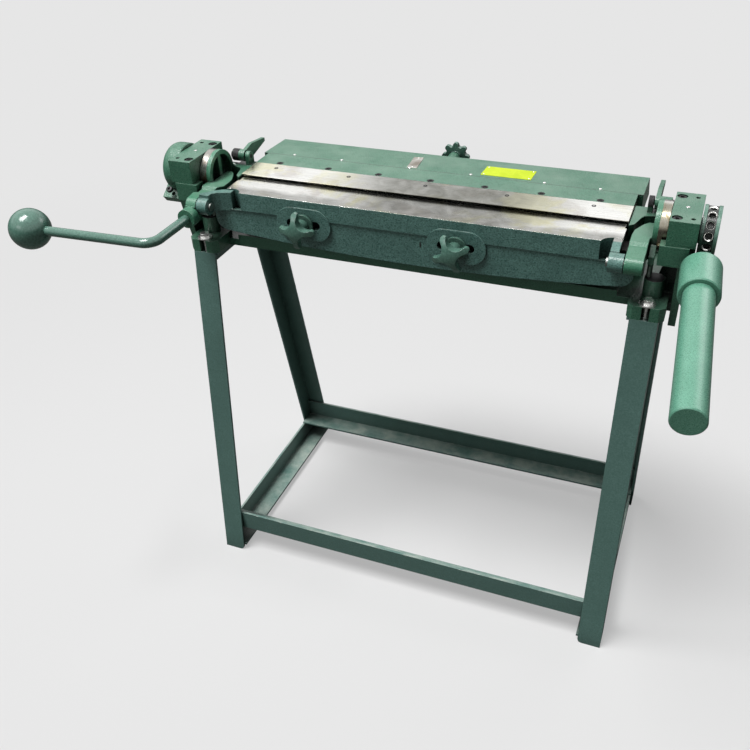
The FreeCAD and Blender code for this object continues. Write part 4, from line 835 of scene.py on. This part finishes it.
def socket_screw(radius, height, key_radius, key_depth):
    """A socket screw's head with its seat at the origin."""
    head = button(radius, height, rounding=0.2)
    key = add_primitive(bpy.ops.mesh.primitive_cylinder_add, vertices=6, radius=key_radius,
                        depth=key_depth * 2, location=(0, 0, height))
    apply_modifier(head, "BOOLEAN", operation="DIFFERENCE", object=key, solver="EXACT")
    drop(key)
    return head


# %% [markdown]
# Five small screws hold the folding blade, and seven larger ones hold its holder. All stand at
# an even pitch, and only the first place and the pitch are written down. The blade slopes up to
# the back, so its screws lean with it. No two screws stop at the same angle when they are
# tightened, so each is turned a little further than the one before.

# %% Blade and holder screws
up_axis = Vector((0, 0, 1))
blade_rise, blade_edge, blade_width = 2.5, 1, 63.5
blade_slope = (blade_rise - blade_edge) / blade_width
blade_face = Vector((0, -blade_slope, 1)).normalized()
blade_first, blade_pitch, blade_row, blade_sink = -333.5, 163.5, 45, 1.2
blade_screw = socket_screw(radius=4.2 * MM, height=1.6 * MM, key_radius=2.4 * MM,
                           key_depth=1.4 * MM)
copies(blade_screw, "blade_screws",
       [aim(spot(blade_first + index * blade_pitch, blade_row,
                 blade_edge + blade_slope * blade_row - blade_sink), blade_face, index)
        for index in range(5)], "frame", black_oxide)
holder_rise = 2.7
holder_first, holder_pitch, holder_row, holder_sink = -338, 111, 71, 1
holder_screw = socket_screw(radius=6.7 * MM, height=1.2 * MM, key_radius=3.4 * MM,
                            key_depth=1 * MM)
copies(holder_screw, "holder_screws",
       [aim(spot(holder_first + index * holder_pitch, holder_row, holder_rise - holder_sink),
            up_axis, 0.7 * index)
        for index in range(7)], "frame", black_oxide)

# %% [markdown]
# The bearing caps are held down by two counterbored screws each, with a dowel pin beside every
# screw and a light oil screw in the middle. The same list of places serves both sides, because
# the right side mirrors the left.

# %% Cap screws, dowels and oil screws
cap_top, cap_in, cap_sink = 43.5, 461, 6
cap_rows = (-56, 35.5)
cap_screw_in, dowel_in = 11, 37
oiler_in, oiler_row, oiler_sink = 24, -10, 0.2
cap_screw = socket_screw(radius=7.6 * MM, height=4.6 * MM, key_radius=3.9 * MM,
                         key_depth=3.4 * MM)
copies(cap_screw, "cap_screws",
       [aim(spot(side * (cap_in + cap_screw_in), y, cap_top - cap_sink), up_axis, y + side)
        for side in (-1, 1) for y in cap_rows], "frame", black_oxide)
dowel = button(radius=3.9 * MM, height=3.4 * MM)
copies(dowel, "cap_dowels",
       [aim(spot(side * (cap_in + dowel_in), y, cap_top - cap_sink), up_axis)
        for side in (-1, 1) for y in cap_rows], "frame", dark_steel)
oiler = socket_screw(radius=3.4 * MM, height=1.2 * MM, key_radius=1.7 * MM, key_depth=0.9 * MM)
copies(oiler, "oil_screws",
       [aim(spot(side * (cap_in + oiler_in), oiler_row, cap_top - oiler_sink), up_axis)
        for side in (-1, 1)], "frame", bright_zinc)

# %% [markdown]
# The cover carries a row of rivets just behind its front edge, a yellow plate that is left
# blank, and a small strip of aluminium that was never set quite straight. The cover slopes down
# to the back, and everything on it has to slope with it.

# %% Rivets and plates on the cover
cover_depth, cover_fall = 96, 3.5
cover_lean = Matrix.Rotation(-math.atan2(cover_fall, cover_depth), 4, "X")


def on_cover(x, y, turn=0.0):
    """The matrix of a place on the cover's sloping top."""
    height = holder_rise - cover_fall * (y - cover_front) / cover_depth
    return (Matrix.Translation(spot(x, y, height)) @ cover_lean
            @ Matrix.Rotation(math.radians(turn), 4, "Z"))


def plate(length, width, thick, rim):
    """A thin plate on its seat, its face pressed in a little inside a rim."""
    item = add_primitive(bpy.ops.mesh.primitive_cube_add, size=1, location=(0, 0, thick / 2),
                         scale=(length, width, thick))
    bpy.ops.object.mode_set(mode="EDIT")
    pick(item, lambda normal: normal.z > 0.9)
    bpy.ops.mesh.bevel(offset=thick * 0.3, segments=2, affect="EDGES")
    pick(item, lambda normal: normal.z > 0.99)
    bpy.ops.mesh.inset(thickness=rim, depth=0)
    bpy.ops.mesh.inset(thickness=thick * 0.2, depth=-thick * 0.2)
    bpy.ops.object.mode_set(mode="OBJECT")
    return item


rivet_row, rivet_places = 123, (-330, -220, -68, 62, 211, 319)
rivet = button(radius=3.2 * MM, height=1.7 * MM, rounding=0.9, segments=5, vertices=24)
copies(rivet, "cover_rivets", [on_cover(x, rivet_row) for x in rivet_places], "frame",
       bright_zinc)
plate_x, plate_y = 131.5, 154
strip_x, strip_y, strip_turn = -67, 155, 6
sheet_plate = plate(length=102 * MM, width=50 * MM, thick=0.8 * MM, rim=2 * MM)
copies(sheet_plate, "yellow_plate", [on_cover(plate_x, plate_y)], "frame", yellow_enamel)
plate_rivet = button(radius=1.9 * MM, height=1.8 * MM, rounding=0.8, segments=4, vertices=20)
copies(plate_rivet, "plate_rivets",
       [on_cover(plate_x + x, plate_y + y) for x in (-46, 46) for y in (-20, 20)]
       + [on_cover(strip_x - y / 10, strip_y + y) for y in (-27, 27)], "frame", bright_zinc)
strip = plate(length=21 * MM, width=64 * MM, thick=1.2 * MM, rim=1.5 * MM)
copies(strip, "aluminium_strip", [on_cover(strip_x, strip_y, strip_turn)], "frame",
       bare_aluminium)

# %% [markdown]
# A fluted sleeve sits on the pivot of each stop lever, so that fingers can grip it with oil on
# them. The flutes come from insetting every side face on its own and pushing it out.


# %% Fluted sleeves on the lever pivots
def sleeve(radius, length):
    """A fluted sleeve that starts at the origin and runs up the Z axis."""
    item = add_primitive(bpy.ops.mesh.primitive_cylinder_add, vertices=30, radius=radius,
                         depth=length, location=(0, 0, length / 2))
    bpy.ops.object.mode_set(mode="EDIT")
    pick(item, lambda normal: abs(normal.z) < 0.1)
    bpy.ops.mesh.inset(thickness=0.4 * MM, depth=0.5 * MM, use_individual=True)
    bpy.ops.object.mode_set(mode="OBJECT")
    return item


x_axis = Vector((1, 0, 0))
lever_y, lever_rise = 62, 15
right_sleeve_x, left_sleeve_x = 414.7, -439.5
right_sleeve = sleeve(radius=11 * MM, length=9.6 * MM)
copies(right_sleeve, "right_pivot_sleeve",
       [aim(spot(right_sleeve_x, lever_y, lever_rise), x_axis)], "frame", black_oxide)
left_sleeve = sleeve(radius=12.1 * MM, length=15 * MM)
copies(left_sleeve, "left_pivot_sleeve",
       [aim(spot(left_sleeve_x, lever_y, lever_rise), x_axis)], "left_lever", black_oxide)

# %% [markdown]
# Threads are real helixes. A small triangle stands at the screw's radius, and the Screw
# modifier sweeps it round and up by one pitch for every turn. The feet of the two stop screws
# stand on thin dark pads.


# %% Threads
def thread(radius, pitch, turns):
    """A helical ridge that starts at the origin and climbs the Z axis."""
    item = add_primitive(bpy.ops.mesh.primitive_circle_add, vertices=3, radius=pitch * 0.36,
                         location=(radius, 0, 0), rotation=(math.pi / 2, math.pi / 2, 0))
    apply_modifier(item, "SCREW", axis="Z", screw_offset=pitch, iterations=turns, steps=20,
                   render_steps=20)
    return item


stand_height, axis_height = 782, 921.5
bolt_out, bolt_drop = 448, 19.2
bolt_rows = (-82, 158)
tail = thread(radius=5.9 * MM, pitch=1.75 * MM, turns=2)
copies(tail, "foot_bolt_threads",
       [aim(spot(side * bolt_out, y, stand_height - axis_height - bolt_drop), up_axis)
        for side in (-1, 1) for y in bolt_rows], "frame", bright_zinc)
stop_out, stop_y, stop_low = 441, -44, -77
stop = thread(radius=4.4 * MM, pitch=1.25 * MM, turns=16)
copies(stop, "stop_screw_threads",
       [aim(spot(side * stop_out, stop_y, stop_low), up_axis) for side in (-1, 1)],
       "swing_bar", pin_steel)
pad_out, pad_drop = 452, 1.3
pad = button(radius=17 * MM, height=0.2 * MM)
copies(pad, "stop_pads", [aim(spot(side * pad_out, stop_y, stop_low - pad_drop), up_axis)
                          for side in (-1, 1)], "frame", black_oxide)

# %% [markdown]
# A cast lug stands behind the left disc, on the outer face of the cheek. It is a block whose
# top is rounded by a wide bevel, as a foundry rounds whatever has to leave the sand.

# %% Lug behind the left disc
lug_size = Vector((20, 14, 44)) * MM
lug_place = spot(-440.5, 57.5, -23)
lug_rounding = 0.46
lug = add_primitive(bpy.ops.mesh.primitive_cube_add, size=1, location=lug_place,
                    scale=lug_size)
round_top(lug, lug_rounding * lug_size.y, segments=6)
settle(lug, "left_cheek_lug", "frame", casting_green)

# %% [markdown]
# The collar on the left trunnion is split at an ear that leans down to the front, and one
# socket screw pinches it shut. Its place is worked out along the ear and square to it.

# %% Collar screw
collar_x, ear_reach, ear_rise = -533, 61, 10
ear_angle = math.radians(38)
ear_out = Vector((0, -math.cos(ear_angle), -math.sin(ear_angle)))
ear_face = Vector((0, -math.sin(ear_angle), math.cos(ear_angle)))
ear_place = spot(collar_x, 0, 0) + (ear_out * ear_reach + ear_face * ear_rise) * MM
pinch = socket_screw(radius=6.5 * MM, height=6 * MM, key_radius=3.4 * MM, key_depth=3 * MM)
copies(pinch, "collar_screw", [aim(ear_place, ear_face)], "swing_bar", black_oxide)

# %% [markdown]
# The stand is welded. A welder's bead is a row of coins that freeze one over the other, so each
# bead is an Array of flattened balls, laid along a joint and painted over with the stand.


# %% Weld beads
def bead(length, radius, step):
    """A bead that starts at the origin and runs up the Z axis."""
    item = add_primitive(bpy.ops.mesh.primitive_uv_sphere_add, segments=12, ring_count=8,
                         radius=radius, location=(0, 0, step), scale=(1, 1, 0.75))
    apply_modifier(item, "ARRAY", count=int(length / step) - 1, use_relative_offset=False,
                   use_constant_offset=True, constant_offset_displace=(0.1 * MM, 0, step))
    bpy.ops.object.shade_smooth()
    return item


front_foot, front_head, back_foot, back_head = -195, -95, 325, 174
rail_out, wall = 467, 5
inner_low, inner_high, inner_gap = 15, 60, 0.6
outer_low, outer_high, outer_gap = 66, 110, 0.8


def on_splay(end, height, inward):
    """A place in the YZ plane on the inside of the front or back legs."""
    share = height / stand_height
    if end < 0:
        return front_foot + (front_head - front_foot) * share + inward, height - axis_height
    return back_foot + (back_head - back_foot) * share - inward, height - axis_height


def splayed(x, end, low, high, inward):
    """The matrix of a bead that leans with the legs."""
    foot = spot(x, *on_splay(end, low, inward))
    return aim(foot, spot(x, *on_splay(end, high, inward)) - foot)


corners = [(side, end) for side in (-1, 1) for end in (-1, 1)]
weld = bead(length=44 * MM, radius=3.1 * MM, step=2.4 * MM)
copies(weld, "stand_welds",
       [splayed(side * (rail_out - wall - inner_gap), end, inner_low, inner_high,
                wall + inner_gap) for side, end in corners]
       + [splayed(side * (rail_out - inner_gap), end, outer_low, outer_high,
                  2 * wall + outer_gap) for side, end in corners],
       "frame", stand_green)
drop(blade_screw, holder_screw, cap_screw, dowel, oiler, rivet, sheet_plate, plate_rivet, strip,
     right_sleeve, left_sleeve, tail, stop, pad, pinch, weld)
